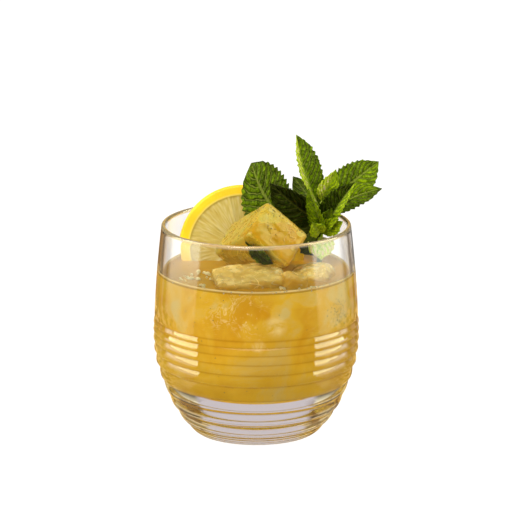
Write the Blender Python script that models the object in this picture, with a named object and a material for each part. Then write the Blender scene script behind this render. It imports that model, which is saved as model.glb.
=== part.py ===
# Whiskey smash: a ribbed tumbler with its drink, ice, a lemon slice and a sprig of mint.
# Metres, +Z up. The origin is the centre of the tumbler's flat foot, and the front faces -Y.

import math

import bmesh
import bpy
from mathutils import Euler, Matrix, Vector, noise

MM = 0.001
GAP = 0.35 * MM  # clear space between pieces that touch

# Tumbler
GLASS_HEIGHT = 95.0 * MM
BELLY_RADIUS = 45.75 * MM  # in the valleys between ribs, at the widest height
BELLY_HEIGHT = 45.0 * MM
RIM_RADIUS = 42.2 * MM
FOOT_RADIUS = 26.8 * MM
SHOULDER_POWER = 1.7  # how the wall leans in from the belly to the rim
BELLY_PULL = 9.0 * MM  # how far the belly runs straight down before it turns in
FOOT_PULL = 18.0 * MM  # how far the wall runs straight out of the foot
FOOT_FLARE = math.radians(40.0)  # the wall's rise where it leaves the foot
RIM_WALL = 1.9 * MM
BELLY_WALL = 2.8 * MM
BOWL_TOP = 44.0 * MM  # the height where the inner wall begins to turn in
BOWL_FLOOR = 19.5 * MM  # thickness of the heavy base
BOWL_POWER = 2.6  # 2 is an ellipse, more is squarer
TURN_SEGMENTS = 48

# Ribs round the lower wall, from the top one down
RIB_TOP = 52.8 * MM
FIRST_RIB = 3.1 * MM
TALLEST_RIB = 6.7 * MM
RIB_GROWTH = 1.17
RIB_COUNT = 10
TOP_RIB_BULGE = 0.30 * MM
LOW_RIB_BULGE = 0.95 * MM
RIB_STEPS = 3

# Drink
DRINK_LEVEL = 73.5 * MM

# Lemon slice, leaning back on the far wall
LEMON_RADIUS = 28.5 * MM
LEMON_THICKNESS = 4.5 * MM
LEMON_CENTRE = Vector((-6.4, 18.5, 78.9)) * MM
LEMON_LEAN = math.radians(14.5)
LEMON_EDGE = 1.1 * MM  # rounding of the rind's edge
LEMON_PITH = 4.6 * MM  # rind and pith round the flesh
FLESH_DIP = 0.35 * MM
LEMON_SEGMENTS = 48

# Ice: size, centre and turn of each block that breaks the surface
ICE = {
    "ice_cube_top": {
        "size": (20.0, 24.2, 34.0),
        "centre": (2.0, -4.5, 86.6),
        "turn": (54.4, -36.2, 55.1),
        "melt": 2.2,
        "lumps": 0.15,
        "seed": 3.0,
    },
    "ice_cube_front": {
        "size": (31.0, 22.0, 25.0),
        "centre": (-3.0, -20.0, 66.2),
        "turn": (8.0, -4.0, 9.0),
        "melt": 3.4,
        "lumps": 0.9,
        "seed": 11.0,
    },
    "ice_cube_right": {
        "size": (19.0, 19.0, 29.0),
        "centre": (26.2, -9.5, 62.9),
        "turn": (4.0, -10.0, -15.0),
        "melt": 4.2,
        "lumps": 0.9,
        "seed": 19.0,
    },
    "ice_chip": {
        "size": (10.0, 9.0, 19.0),
        "centre": (15.2, -28.0, 69.8),
        "turn": (6.0, 14.0, 24.0),
        "melt": 2.6,
        "lumps": 0.7,
        "seed": 27.0,
    },
}

# Mint: the stem and what grows on it
STEM_FOOT = Vector((28.0, 10.0, 58.0)) * MM
STEM_TOP = Vector((29.4, 9.0, 102.5)) * MM
STEM_RADIUS = 1.25 * MM
STEM_TIP_RADIUS = 0.8 * MM
STEM_BOW = 0.6 * MM
STEM_SEGMENTS = 8
STEM_STEPS = 6
LEAF_THICKNESS = 0.55 * MM
LEAF_STALK = 0.10  # share of a leaf's length that is bare stalk
STALK_SHARE = 0.07  # the stalk's width as a share of the blade's
LEAF_FULLNESS = 0.68  # less makes blunter leaves
LEAF_ROWS = 8
LEAF_COLUMNS = 4
FRONT = Vector((0.0, -math.cos(LEMON_LEAN), math.sin(LEMON_LEAN)))  # where the drink is seen from

# Each leaf: how far up the stem it starts, where it points (0 is +X, 90 is away), its rise in
# degrees, length and width in mm, the roll of its face from the front, the fold of its two
# halves, the bows of its midrib out of the blade and along it in mm, and where it is widest.
LEAVES = {
    "far_left": dict(at=0.66, heading=163, rise=43.5, length=45, width=24.5, roll=0, fold=6, arch=2.0, sway=6.8, belly=0.62),
    "dark_left": dict(at=0.78, heading=-167, rise=40, length=31, width=18, roll=-28, fold=24, arch=1.5, sway=0.0, belly=0.4),
    "low_left": dict(at=0.80, heading=-168, rise=-40, length=15, width=10, roll=10, fold=14, arch=1.0, sway=0.5, belly=0.4),
    "tall": dict(at=0.91, heading=152, rise=69, length=36, width=15.5, roll=30, fold=30, arch=1.0, sway=2.8, belly=0.5),
    "bright": dict(at=0.99, heading=-45, rise=63, length=19, width=9.5, roll=10, fold=16, arch=0.8, sway=0.4, belly=0.4),
    "far_right": dict(at=0.94, heading=22, rise=34.5, length=33.5, width=18.5, roll=14, fold=14, arch=1.5, sway=0.8, belly=0.42),
    "low_right": dict(at=0.80, heading=2, rise=29, length=31, width=11, roll=-16, fold=16, arch=1.0, sway=2.5, belly=0.5),
    "folded_right": dict(at=0.66, heading=-45, rise=53, length=35, width=14, roll=-34, fold=30, arch=1.0, sway=0.0, belly=0.4),
    "upright": dict(at=0.64, heading=-114, rise=61, length=29, width=9, roll=-38, fold=24, arch=1.0, sway=-2.2, belly=0.4),
    "small_back": dict(at=0.70, heading=-69, rise=46, length=19, width=7.5, roll=0, fold=12, arch=0.6, sway=0.4, belly=0.4),
    "round_front": dict(at=0.68, heading=-104, rise=28, length=19, width=8, roll=-10, fold=10, arch=1.6, sway=0.0, belly=0.6),
    "low_front": dict(at=0.66, heading=-52, rise=31, length=18, width=8.5, roll=0, fold=12, arch=1.0, sway=0.8, belly=0.6),
    "hanging": dict(at=0.66, heading=-88, rise=-50, length=12.5, width=12.5, roll=0, fold=6, arch=1.2, sway=0.0, belly=0.45),
    "low_dark": dict(at=0.54, heading=-151, rise=-10, length=10.5, width=8, roll=20, fold=10, arch=0.6, sway=0.0, belly=0.4),
    "back_left": dict(at=0.84, heading=130, rise=38, length=25, width=14, roll=180, fold=12, arch=1.2, sway=0.6, belly=0.4),
    "back_right": dict(at=0.8, heading=75, rise=34, length=25, width=13, roll=180, fold=12, arch=1.2, sway=-0.6, belly=0.4),
}

# A loose leaf stuck to the underside of the top ice block, in the block's own directions
LOOSE_LEAF_START = (9.6, 11.6)
LOOSE_LEAF_LENGTH = 16.0
LOOSE_LEAF_WIDTH = 10.5
LOOSE_LEAF_GAP = 0.75


def clear_scene():
    """Start from an empty scene."""
    for obj in list(bpy.data.objects):
        bpy.data.objects.remove(obj, do_unlink=True)


def material(name, colour, roughness, metallic=0.0, transmission=0.0, ior=1.45):
    """One Principled material."""
    made = bpy.data.materials.new(name)
    made.use_nodes = True
    shader = made.node_tree.nodes["Principled BSDF"]
    shader.inputs["Base Color"].default_value = (*colour, 1.0)
    shader.inputs["Roughness"].default_value = roughness
    shader.inputs["Metallic"].default_value = metallic
    shader.inputs["Transmission Weight"].default_value = transmission
    shader.inputs["IOR"].default_value = ior
    made.diffuse_color = (*colour, 1.0)
    return made


def add_object(name, mesh, finish=None):
    """Link a mesh under a name."""
    obj = bpy.data.objects.new(name, mesh)
    bpy.context.scene.collection.objects.link(obj)
    if finish is not None:
        mesh.materials.clear()
        mesh.materials.append(finish)
    return obj


def mesh_from(name, points, faces, smooth_angle=None):
    """A mesh of the given points and faces, all triangles."""
    mesh = bpy.data.meshes.new(name)
    mesh.from_pydata([tuple(p) for p in points], [], faces)
    work = bmesh.new()
    work.from_mesh(mesh)
    bmesh.ops.triangulate(work, faces=work.faces[:])
    work.to_mesh(mesh)
    work.free()
    if smooth_angle is not None:
        mesh.shade_smooth()
        mesh.set_sharp_from_angle(angle=math.radians(smooth_angle))
    return mesh


def turned(name, profile, segments, smooth_angle=30.0):
    """Turn a profile of (radius, height) about Z. It runs from the axis, round the outside, back to the axis."""
    points = [Vector((0.0, 0.0, profile[0][1]))]
    for radius, height in profile[1:-1]:
        for step in range(segments):
            angle = math.tau * step / segments
            points.append(Vector((radius * math.cos(angle), radius * math.sin(angle), height)))
    points.append(Vector((0.0, 0.0, profile[-1][1])))
    rows = len(profile) - 2
    last = len(points) - 1
    faces = []
    for step in range(segments):
        after = (step + 1) % segments
        faces.append((0, 1 + after, 1 + step))
        top = 1 + (rows - 1) * segments
        faces.append((last, top + step, top + after))
        for row in range(rows - 1):
            low = 1 + row * segments
            high = low + segments
            faces.append((low + step, low + after, high + after, high + step))
    return mesh_from(name, points, faces, smooth_angle)


def lower_wall(height):
    """Radius of the outer wall below the belly, in the valleys between ribs: one Bezier curve."""
    start = Vector((BELLY_RADIUS, BELLY_HEIGHT))
    end = Vector((FOOT_RADIUS, 0.0))
    pull = start - Vector((0.0, BELLY_PULL))
    push = end + FOOT_PULL * Vector((math.cos(FOOT_FLARE), math.sin(FOOT_FLARE)))
    low, high = 0.0, 1.0
    for _ in range(40):
        t = (low + high) / 2
        s = 1 - t
        point = s**3 * start + 3 * s * s * t * pull + 3 * s * t * t * push + t**3 * end
        if point.y > height:
            low = t
        else:
            high = t
    return point.x


def wall_radius(height):
    """Radius of the outer wall without its ribs."""
    if height < BELLY_HEIGHT:
        return lower_wall(height)
    part = (height - BELLY_HEIGHT) / (GLASS_HEIGHT - BELLY_HEIGHT)
    return BELLY_RADIUS - (BELLY_RADIUS - RIM_RADIUS) * part**SHOULDER_POWER


def inner_radius(height):
    """Radius of the inner wall."""
    if height < BOWL_TOP:
        part = min(1.0, (BOWL_TOP - height) / (BOWL_TOP - BOWL_FLOOR))
        return inner_radius(BOWL_TOP) * (1 - part**BOWL_POWER) ** (1 / BOWL_POWER)
    part = (height - BOWL_TOP) / (GLASS_HEIGHT - BOWL_TOP)
    return wall_radius(height) - (BELLY_WALL + (RIM_WALL - BELLY_WALL) * part)


def rib_valleys():
    """Heights of the sharp valleys between ribs, from the top down to the foot."""
    heights = [RIB_TOP]
    for index in range(RIB_COUNT - 1):
        heights.append(heights[-1] - min(FIRST_RIB * RIB_GROWTH**index, TALLEST_RIB))
    return heights + [0.0]


def outer_profile():
    """The outer wall from the foot to just under the rim, ribs included."""
    valleys = rib_valleys()[::-1]
    points = []
    for index, (low, high) in enumerate(zip(valleys, valleys[1:])):
        bulge = LOW_RIB_BULGE + (TOP_RIB_BULGE - LOW_RIB_BULGE) * index / (RIB_COUNT - 1)
        for step in range(RIB_STEPS):
            part = step / RIB_STEPS
            height = low + (high - low) * part
            points.append((wall_radius(height) + bulge * math.sin(math.pi * part), height))
    smooth_rows = 5
    top = GLASS_HEIGHT - RIM_WALL / 2
    for step in range(smooth_rows + 1):
        height = RIB_TOP + (top - RIB_TOP) * step / smooth_rows
        points.append((wall_radius(height), height))
    return points


def rim_profile(steps=3):
    """The half-round lip, from outside to inside."""
    top = GLASS_HEIGHT - RIM_WALL / 2
    middle = (wall_radius(top) + inner_radius(top)) / 2
    half = (wall_radius(top) - inner_radius(top)) / 2
    turns = [math.pi * step / (steps + 1) for step in range(1, steps + 1)]
    return [(middle + half * math.cos(turn), top + half * math.sin(turn)) for turn in turns]


def bowl_profile(offset, top, straight_rows, bowl_rows):
    """The inner wall from a height down to the floor, drawn in by an offset."""
    points = []
    for step in range(straight_rows):
        height = top + (BOWL_TOP - top) * step / straight_rows
        points.append((inner_radius(height) - offset, height))
    half_turn = math.pi / 2
    reach = inner_radius(BOWL_TOP) - offset
    depth = BOWL_TOP - BOWL_FLOOR - offset
    for step in range(bowl_rows):
        turn = half_turn * step / bowl_rows
        radius = reach * math.cos(turn) ** (2 / BOWL_POWER)
        points.append((radius, BOWL_TOP - depth * math.sin(turn) ** (2 / BOWL_POWER)))
    return points + [(0.0, BOWL_FLOOR + offset)]


def make_glass():
    """The tumbler, one turned solid with a flat foot."""
    profile = [(0.0, 0.0)] + outer_profile() + rim_profile()
    profile += bowl_profile(0.0, GLASS_HEIGHT - RIM_WALL / 2, 4, 7)
    finish = material("clear_glass", (0.93, 0.94, 0.95), 0.02, transmission=1.0, ior=1.5)
    return add_object("glass", turned("glass", profile, TURN_SEGMENTS), finish)


def melted_block(spec, grow=0.0):
    """A block of ice with edges rounded by melting. grow makes the same block larger all round."""
    half = [side * MM / 2 + grow for side in spec["size"]]
    melt = spec["melt"] * MM + grow
    stops = [[-h, -(h - melt), 0.0, h - melt, h] for h in half]
    work = bmesh.new()
    found = {}

    def corner(position):
        key = tuple(round(value, 7) for value in position)
        if key not in found:
            core = Vector([max(-(h - melt), min(h - melt, v)) for v, h in zip(position, half)])
            out = (Vector(position) - core).normalized()
            lump = noise.noise(Vector(position) / (9 * MM) + Vector((spec["seed"], 0.0, 0.0)))
            found[key] = work.verts.new(core + out * (melt + spec["lumps"] * MM * lump))
        return found[key]

    for axis in range(3):
        first, second = (axis + 1) % 3, (axis + 2) % 3
        for side in (-1, 1):
            for i in range(4):
                for j in range(4):
                    ring = [(i, j), (i + 1, j), (i + 1, j + 1), (i, j + 1)]
                    if side < 0:
                        ring.reverse()
                    face = []
                    for a, b in ring:
                        position = [0.0, 0.0, 0.0]
                        position[axis] = side * half[axis]
                        position[first] = stops[first][a]
                        position[second] = stops[second][b]
                        face.append(corner(position))
                    work.faces.new(face)
    bmesh.ops.triangulate(work, faces=work.faces[:])
    mesh = bpy.data.meshes.new("ice")
    work.to_mesh(mesh)
    work.free()
    mesh.transform(block_place(spec))
    return mesh


def block_place(spec):
    """Where a block of ice lies, as a matrix."""
    turn = Euler([math.radians(angle) for angle in spec["turn"]]).to_matrix().to_4x4()
    return Matrix.Translation(Vector(spec["centre"]) * MM) @ turn


def apply_modifiers(obj):
    """Turn an object's modifiers into its mesh."""
    graph = bpy.context.evaluated_depsgraph_get()
    mesh = bpy.data.meshes.new_from_object(obj.evaluated_get(graph))
    obj.modifiers.clear()
    obj.data = mesh


def keep_largest_piece(obj):
    """Drop the loose scraps that a cut leaves."""
    work = bmesh.new()
    work.from_mesh(obj.data)
    left = set(work.verts)
    pieces = []
    while left:
        stack = [left.pop()]
        piece = set(stack)
        while stack:
            for edge in stack.pop().link_edges:
                for vert in edge.verts:
                    if vert in left:
                        left.discard(vert)
                        piece.add(vert)
                        stack.append(vert)
        pieces.append(piece)
    pieces.sort(key=len)
    scraps = [vert for piece in pieces[:-1] for vert in piece]
    bmesh.ops.delete(work, geom=scraps, context="VERTS")
    work.to_mesh(obj.data)
    work.free()


def cut_round(obj, meshes):
    """Cut an object round other shapes, given as meshes that are already larger by the gap."""
    cutters = []
    for mesh in meshes:
        cutter = add_object("cutter", mesh)
        cutters.append(cutter)
        cut = obj.modifiers.new("cut", "BOOLEAN")
        cut.operation = "DIFFERENCE"
        cut.solver = "EXACT"
        cut.object = cutter
    apply_modifiers(obj)
    for cutter in cutters:
        bpy.data.objects.remove(cutter, do_unlink=True)
    keep_largest_piece(obj)


def make_ice():
    """The blocks of ice that break the surface. Each lower one is cut clear of those before it."""
    finish = material("ice", (0.86, 0.80, 0.62), 0.25, transmission=0.6, ior=1.31)
    touching = {
        "ice_cube_top": [],
        "ice_cube_front": ["ice_cube_top"],
        "ice_cube_right": ["ice_cube_top", "ice_cube_front"],
        "ice_chip": ["ice_cube_top", "ice_cube_front", "ice_cube_right"],
    }
    blocks = {}
    for name, spec in ICE.items():
        block = add_object(name, melted_block(spec), finish)
        neighbours = [melted_block(ICE[other], GAP) for other in touching[name]]
        if neighbours:
            cut_round(block, neighbours)
        blocks[name] = block
    return blocks


def lemon_mesh(grow=0.0):
    """A full round slice, its flesh a little lower than the rind."""
    half = LEMON_THICKNESS / 2 + grow
    radius = LEMON_RADIUS + grow
    edge = LEMON_EDGE
    flesh = LEMON_RADIUS - LEMON_PITH
    dip = FLESH_DIP if grow == 0.0 else 0.0
    shoulder = radius - edge
    bevel = edge * (1 - math.sqrt(0.5))
    profile = [
        (0.0, -(half - dip)),
        (flesh - dip, -(half - dip)),
        (flesh + dip, -half),
        (shoulder, -half),
        (radius - bevel, -(half - bevel)),
        (radius, -(half - edge)),
        (radius, half - edge),
        (radius - bevel, half - bevel),
        (shoulder, half),
        (flesh + dip, half),
        (flesh - dip, half - dip),
        (0.0, half - dip),
    ]
    mesh = turned("lemon", profile, LEMON_SEGMENTS, 40.0)
    facing = FRONT.to_track_quat("Z", "Y").to_matrix().to_4x4()
    mesh.transform(Matrix.Translation(LEMON_CENTRE) @ facing)
    return mesh


def make_lemon():
    """The lemon slice."""
    return add_object("lemon_slice", lemon_mesh(), material("lemon", (0.90, 0.72, 0.22), 0.35))


def stem_point(part):
    """A point on the stem's middle line, from its foot at 0 to its top at 1."""
    bow = Vector((0.0, -1.0, 0.0)) * STEM_BOW * math.sin(math.pi * part)
    return STEM_FOOT.lerp(STEM_TOP, part) + bow


def stem_mesh(grow=0.0):
    """The stem, a tapered tube with both ends closed."""
    points = []
    for row in range(STEM_STEPS + 1):
        part = row / STEM_STEPS
        radius = STEM_RADIUS + (STEM_TIP_RADIUS - STEM_RADIUS) * part + grow
        centre = stem_point(part)
        for step in range(STEM_SEGMENTS):
            angle = math.tau * step / STEM_SEGMENTS
            points.append(centre + radius * Vector((math.cos(angle), math.sin(angle), 0.0)))
    points.append(stem_point(0.0) - Vector((0.0, 0.0, grow)))
    points.append(stem_point(1.0) + Vector((0.0, 0.0, STEM_TIP_RADIUS)))
    foot, tip = len(points) - 2, len(points) - 1
    faces = []
    for step in range(STEM_SEGMENTS):
        after = (step + 1) % STEM_SEGMENTS
        for row in range(STEM_STEPS):
            low, high = row * STEM_SEGMENTS, (row + 1) * STEM_SEGMENTS
            faces.append((low + step, low + after, high + after, high + step))
        top = STEM_STEPS * STEM_SEGMENTS
        faces.append((foot, after, step))
        faces.append((tip, top + step, top + after))
    return mesh_from("stem", points, faces)


def leaf_width(part, belly):
    """Half the blade's width along a leaf, as a share of its widest. belly is where it is widest."""
    blade = max(0.0, (part - LEAF_STALK) / (1 - LEAF_STALK))
    lobe = math.sin(math.pi * blade ** (math.log(0.5) / math.log(belly)))
    return max(STALK_SHARE * (1 - part), max(0.0, lobe) ** LEAF_FULLNESS)


def leaf_mesh(start, along, face, length, width, fold, arch, sway, belly):
    """A thin wavy leaf. Both faces are split into triangles alike, so its thickness holds everywhere."""
    along = along.normalized()
    face = (face - face.dot(along) * along).normalized()
    side = face.cross(along)
    rows, columns = LEAF_ROWS, LEAF_COLUMNS
    sheets = []
    for lift in (-0.5, 0.5):
        for row in range(rows + 1):
            part = row / rows
            bow = math.sin(math.pi * part)
            middle = start + along * length * part + face * arch * bow + side * sway * bow
            half = max(width / 2 * leaf_width(part, belly), 0.25 * MM)
            ripple = 0.035 * width * math.sin(3.5 * math.tau * part)
            for column in range(columns + 1):
                across = 2 * column / columns - 1
                out = abs(across) * half
                rise = out * math.sin(fold) + ripple * across * across * (1 - part)
                point = middle + side * across * half * math.cos(fold) + face * rise
                sheets.append(point + face * lift * LEAF_THICKNESS)
    stride = columns + 1
    under = (rows + 1) * stride
    faces = []
    for row in range(rows):
        for column in range(columns):
            a = row * stride + column
            b, c, d = a + 1, a + 1 + stride, a + stride
            faces += [(a, b, c), (a, c, d)]
            faces += [(under + c, under + b, under + a), (under + d, under + c, under + a)]
    edge = [column for column in range(columns)]
    edge += [row * stride + columns for row in range(rows)]
    edge += [rows * stride + column for column in range(columns, 0, -1)]
    edge += [row * stride for row in range(rows, 0, -1)]
    for here, there in zip(edge, edge[1:] + edge[:1]):
        faces += [(here, under + here, under + there), (here, under + there, there)]
    mesh = mesh_from("leaf", sheets, faces)
    make_outward(mesh)
    return mesh


def make_outward(mesh):
    """Turn a closed mesh's faces outwards."""
    work = bmesh.new()
    work.from_mesh(mesh)
    bmesh.ops.recalc_face_normals(work, faces=work.faces[:])
    if work.calc_volume(signed=True) < 0:
        bmesh.ops.reverse_faces(work, faces=work.faces[:])
    work.to_mesh(mesh)
    work.free()


def sprig_leaf(spec):
    """One leaf of the sprig, from its row in the table."""
    heading, rise = math.radians(spec["heading"]), math.radians(spec["rise"])
    flat = math.cos(rise)
    along = Vector((flat * math.cos(heading), flat * math.sin(heading), math.sin(rise)))
    face = FRONT - FRONT.dot(along) * along
    face = Matrix.Rotation(math.radians(spec["roll"]), 3, along) @ face.normalized()
    return leaf_mesh(
        stem_point(spec["at"]),
        along,
        face,
        spec["length"] * MM,
        spec["width"] * MM,
        math.radians(spec["fold"]),
        spec["arch"] * MM,
        spec["sway"] * MM,
        spec["belly"],
    )


def make_sprig():
    """The sprig: its stem and leaves joined into one solid."""
    sprig = add_object("mint_sprig", stem_mesh(), material("mint", (0.16, 0.30, 0.03), 0.5))
    leaves = bpy.data.collections.new("leaves")
    bpy.context.scene.collection.children.link(leaves)
    for spec in LEAVES.values():
        leaves.objects.link(bpy.data.objects.new("leaf", sprig_leaf(spec)))
    join = sprig.modifiers.new("join", "BOOLEAN")
    join.operation = "UNION"
    join.solver = "EXACT"
    join.operand_type = "COLLECTION"
    join.collection = leaves
    apply_modifiers(sprig)
    for leaf in list(leaves.objects):
        bpy.data.objects.remove(leaf, do_unlink=True)
    bpy.data.collections.remove(leaves)
    keep_largest_piece(sprig)
    return sprig


def make_loose_leaf():
    """A wet leaf on the underside of the top block of ice."""
    spec = ICE["ice_cube_top"]
    place = block_place(spec)
    under = -(spec["size"][0] / 2 + LOOSE_LEAF_GAP)
    start = place @ (Vector((under, LOOSE_LEAF_START[0], LOOSE_LEAF_START[1])) * MM)
    turn = place.to_3x3()
    along = turn @ Vector((0.0, -1.0, 0.0))
    face = turn @ Vector((-1.0, 0.0, 0.0))
    mesh = leaf_mesh(
        start,
        along,
        face,
        LOOSE_LEAF_LENGTH * MM,
        LOOSE_LEAF_WIDTH * MM,
        math.radians(6.0),
        0.5 * MM,
        0.0,
        0.55,
    )
    return add_object("mint_leaf_loose", mesh, material("loose_mint", (0.12, 0.20, 0.03), 0.5))


def make_drink():
    """The drink up to its level, cut round what stands in it."""
    inside = bowl_profile(GAP, DRINK_LEVEL, 4, 7)
    profile = inside[::-1] + [(0.0, DRINK_LEVEL)]
    finish = material("drink", (0.72, 0.42, 0.08), 0.15, transmission=0.3, ior=1.34)
    drink = add_object("drink", turned("drink", profile, TURN_SEGMENTS), finish)
    cutters = [melted_block(spec, GAP) for spec in ICE.values()]
    cutters += [lemon_mesh(GAP), stem_mesh(GAP)]
    cut_round(drink, cutters)
    return drink


clear_scene()
make_glass()
make_ice()
make_lemon()
make_sprig()
make_loose_leaf()
make_drink()
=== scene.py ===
# Whiskey smash: the looks of a ribbed tumbler with its drink, ice, lemon slice and mint.
# Metres, +Z up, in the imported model's own frame. The front faces -Y.

from itertools import product
from math import cos, exp, hypot, log, pi, radians, sin, sqrt, tanh, tau

import bmesh
import bpy
from mathutils import Euler, Matrix, Vector, noise


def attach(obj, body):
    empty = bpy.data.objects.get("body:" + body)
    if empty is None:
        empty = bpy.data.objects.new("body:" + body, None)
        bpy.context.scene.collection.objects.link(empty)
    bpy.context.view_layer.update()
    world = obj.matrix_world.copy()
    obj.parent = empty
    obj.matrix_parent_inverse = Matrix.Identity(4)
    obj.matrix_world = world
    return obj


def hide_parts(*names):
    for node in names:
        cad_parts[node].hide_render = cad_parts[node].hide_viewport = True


mm = 0.001
white = (1.0, 1.0, 1.0, 1.0)
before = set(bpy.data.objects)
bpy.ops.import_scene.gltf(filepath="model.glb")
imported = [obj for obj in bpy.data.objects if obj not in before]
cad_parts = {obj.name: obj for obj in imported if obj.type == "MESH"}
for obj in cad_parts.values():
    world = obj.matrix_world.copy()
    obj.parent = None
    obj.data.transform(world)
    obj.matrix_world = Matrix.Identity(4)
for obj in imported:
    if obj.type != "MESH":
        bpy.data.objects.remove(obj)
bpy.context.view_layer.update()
scene = bpy.context.scene
print("frame loaded:", len(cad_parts), "nodes")


# Small tools for values

def clamp(value, low=0.0, high=1.0):
    return min(high, max(low, value))


def around(angle):
    return Vector((cos(angle), sin(angle), 0.0))


def srgb(red, green, blue):  # a colour as a picture editor gives it, 0 to 255
    def linear(value):
        share = value / 255
        return share / 12.92 if share <= 0.04045 else ((share + 0.055) / 1.055) ** 2.4
    return linear(red), linear(green), linear(blue), 1.0


def named(columns, rows):  # each row's values by the names of their columns
    return {name: dict(zip(columns.split(), values)) for name, values in rows.items()}


# Small tools for node trees

def newNode(tree, kind, inputs=None, **settings):  # inputs take numbers, colours or other nodes' sockets
    node = tree.nodes.new(kind)
    for key, value in settings.items():
        setattr(node, key, value)
    for key, value in (inputs or {}).items():
        if isinstance(value, bpy.types.NodeSocket):
            tree.links.new(value, node.inputs[key])
        else:
            node.inputs[key].default_value = value
    return node


def fieldNode(kind, inputs, **settings):  # a node in the same tree as the sockets that it is given
    tree = next(value.id_data for value in inputs.values() if isinstance(value, bpy.types.NodeSocket))
    return newNode(tree, "ShaderNode" + kind, inputs, **settings)


def link(source, node, socket):
    node.id_data.links.new(source, node.inputs[socket])


def calc(operation, *values):
    return fieldNode("Math", dict(enumerate(values)), operation=operation).outputs[0]


def vectorCalc(operation, *values, output="Vector"):
    return fieldNode("VectorMath", dict(enumerate(values)), operation=operation).outputs[output]


def plus(total, *others):
    for other in others:
        total = calc("ADD", total, other)
    return total


def times(total, *others):
    for other in others:
        total = calc("MULTIPLY", total, other)
    return total


def minus(first, second):
    return calc("SUBTRACT", first, second)


def inverse(value):
    return calc("SUBTRACT", 1.0, value)


def larger(first, second):
    return calc("MAXIMUM", first, second)


def smaller(first, second):
    return calc("MINIMUM", first, second)


def absolute(value):
    return calc("ABSOLUTE", value)


def remap(value, low, high, toLow=0.0, toHigh=1.0, kind="LINEAR"):
    inputs = {"Value": value, "From Min": low, "From Max": high, "To Min": toLow, "To Max": toHigh}
    return fieldNode("MapRange", inputs, interpolation_type=kind).outputs["Result"]


def eased(value, low, high, toLow=0.0, toHigh=1.0):
    return remap(value, low, high, toLow, toHigh, "SMOOTHSTEP")


def fading(value, low, high):
    return remap(value, low, high, 1.0, 0.0)


def mix(share, first, second):
    return fieldNode("Mix", {0: share, 6: first, 7: second}, data_type="RGBA").outputs[2]


def ramp(value, stops):  # stops are (place, colour)
    node = fieldNode("ValToRGB", {"Fac": value})
    points = node.color_ramp.elements
    points[0].position, points[0].color = stops[0]
    points[1].position, points[1].color = stops[-1]
    for place, colour in stops[1:-1]:
        points.new(place).color = colour
    return node.outputs["Color"]


def noiseField(place, scale, detail=3.0, roughness=0.5, distortion=0.0):
    inputs = {"Vector": place, "Scale": scale, "Detail": detail}
    inputs |= {"Roughness": roughness, "Distortion": distortion}
    return fieldNode("TexNoise", inputs).outputs["Fac"]


def cells(place, scale, feature="F1"):
    return fieldNode("TexVoronoi", {"Vector": place, "Scale": scale}, feature=feature).outputs["Distance"]


def splitPlace(place):  # X, Y and Z
    return fieldNode("SeparateXYZ", {"Vector": place}).outputs


def painted(shader, name, output="Fac"):  # a value that the mesh carries
    return newNode(shader.id_data, "ShaderNodeAttribute", attribute_name=name).outputs[output]


def addBump(shader, height, strength, distance):
    bump = fieldNode("Bump", {"Height": height, "Strength": strength, "Distance": distance})
    link(bump.outputs["Normal"], shader, "Normal")


def absorbLight(shader, values):  # inside the drink or a block of ice
    inputs = {"Color": values["absorb"], "Density": values["absorbDensity"]}
    absorb = newNode(shader.id_data, "ShaderNodeVolumeAbsorption", inputs)
    link(absorb.outputs[0], shader.id_data.nodes["Material Output"], "Volume")


def newMaterial(name, values):  # a Principled material, with plain values by socket name
    material = bpy.data.materials.new(name)
    material.use_nodes = True
    tree = material.node_tree
    shader = tree.nodes["Principled BSDF"]
    for key, value in values.items():
        shader.inputs[key].default_value = value
    return material, shader, newNode(tree, "ShaderNodeTexCoord").outputs["Object"]


# Small tools for meshes

def addObject(name, mesh, finish=None):
    obj = bpy.data.objects.new(name, mesh)
    scene.collection.objects.link(obj)
    if finish:
        mesh.materials.append(finish)
    return obj


def meshOf(name, points, faces):
    mesh = bpy.data.meshes.new(name)
    mesh.from_pydata([tuple(point) for point in points], [], faces)
    mesh.shade_smooth()
    return mesh


def faceOutwards(mesh):
    work = bmesh.new()
    work.from_mesh(mesh)
    bmesh.ops.recalc_face_normals(work, faces=work.faces[:])
    if work.calc_volume(signed=True) < 0:
        bmesh.ops.reverse_faces(work, faces=work.faces[:])
    work.to_mesh(mesh)
    work.free()


def paint(mesh, name, values):  # one number for each point
    mesh.attributes.new(name, "FLOAT", "POINT").data.foreach_set("value", values)


def keepPiece(obj, slot, *nodes):  # it rides on the one body and stands for these nodes
    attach(obj, "root")
    if nodes:
        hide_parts(*nodes)
    print("made", obj.name, len(obj.data.polygons), "faces")


# Small tools for Geometry Nodes

def geometryTree(name, sockets, result):  # sockets are (name, kind)
    tree = bpy.data.node_groups.new(name, "GeometryNodeTree")
    tree.is_modifier = True
    for label, kind in sockets:
        tree.interface.new_socket(label, in_out="INPUT", socket_type="NodeSocket" + kind)
    tree.interface.new_socket(result, in_out="OUTPUT", socket_type="NodeSocketGeometry")
    return tree, newNode(tree, "NodeGroupInput").outputs


def geometryNode(tree, kind, inputs=None, **settings):
    return newNode(tree, "GeometryNode" + kind, inputs, **settings)


def inUse(sockets, *names):  # a node for many kinds of data has sockets for each, and shows those in use
    return [socket for socket in sockets if socket.enabled and (not names or socket.name in names)]


def smoothed(tree, geometry):
    return geometryNode(tree, "SetShadeSmooth", {0: geometry}).outputs[0]


def endTree(tree, geometry, finish):
    real = geometryNode(tree, "RealizeInstances", {0: geometry})
    dressed = geometryNode(tree, "SetMaterial", {0: real.outputs[0], "Material": finish})
    newNode(tree, "NodeGroupOutput", {0: dressed.outputs[0]})
    return tree


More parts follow.
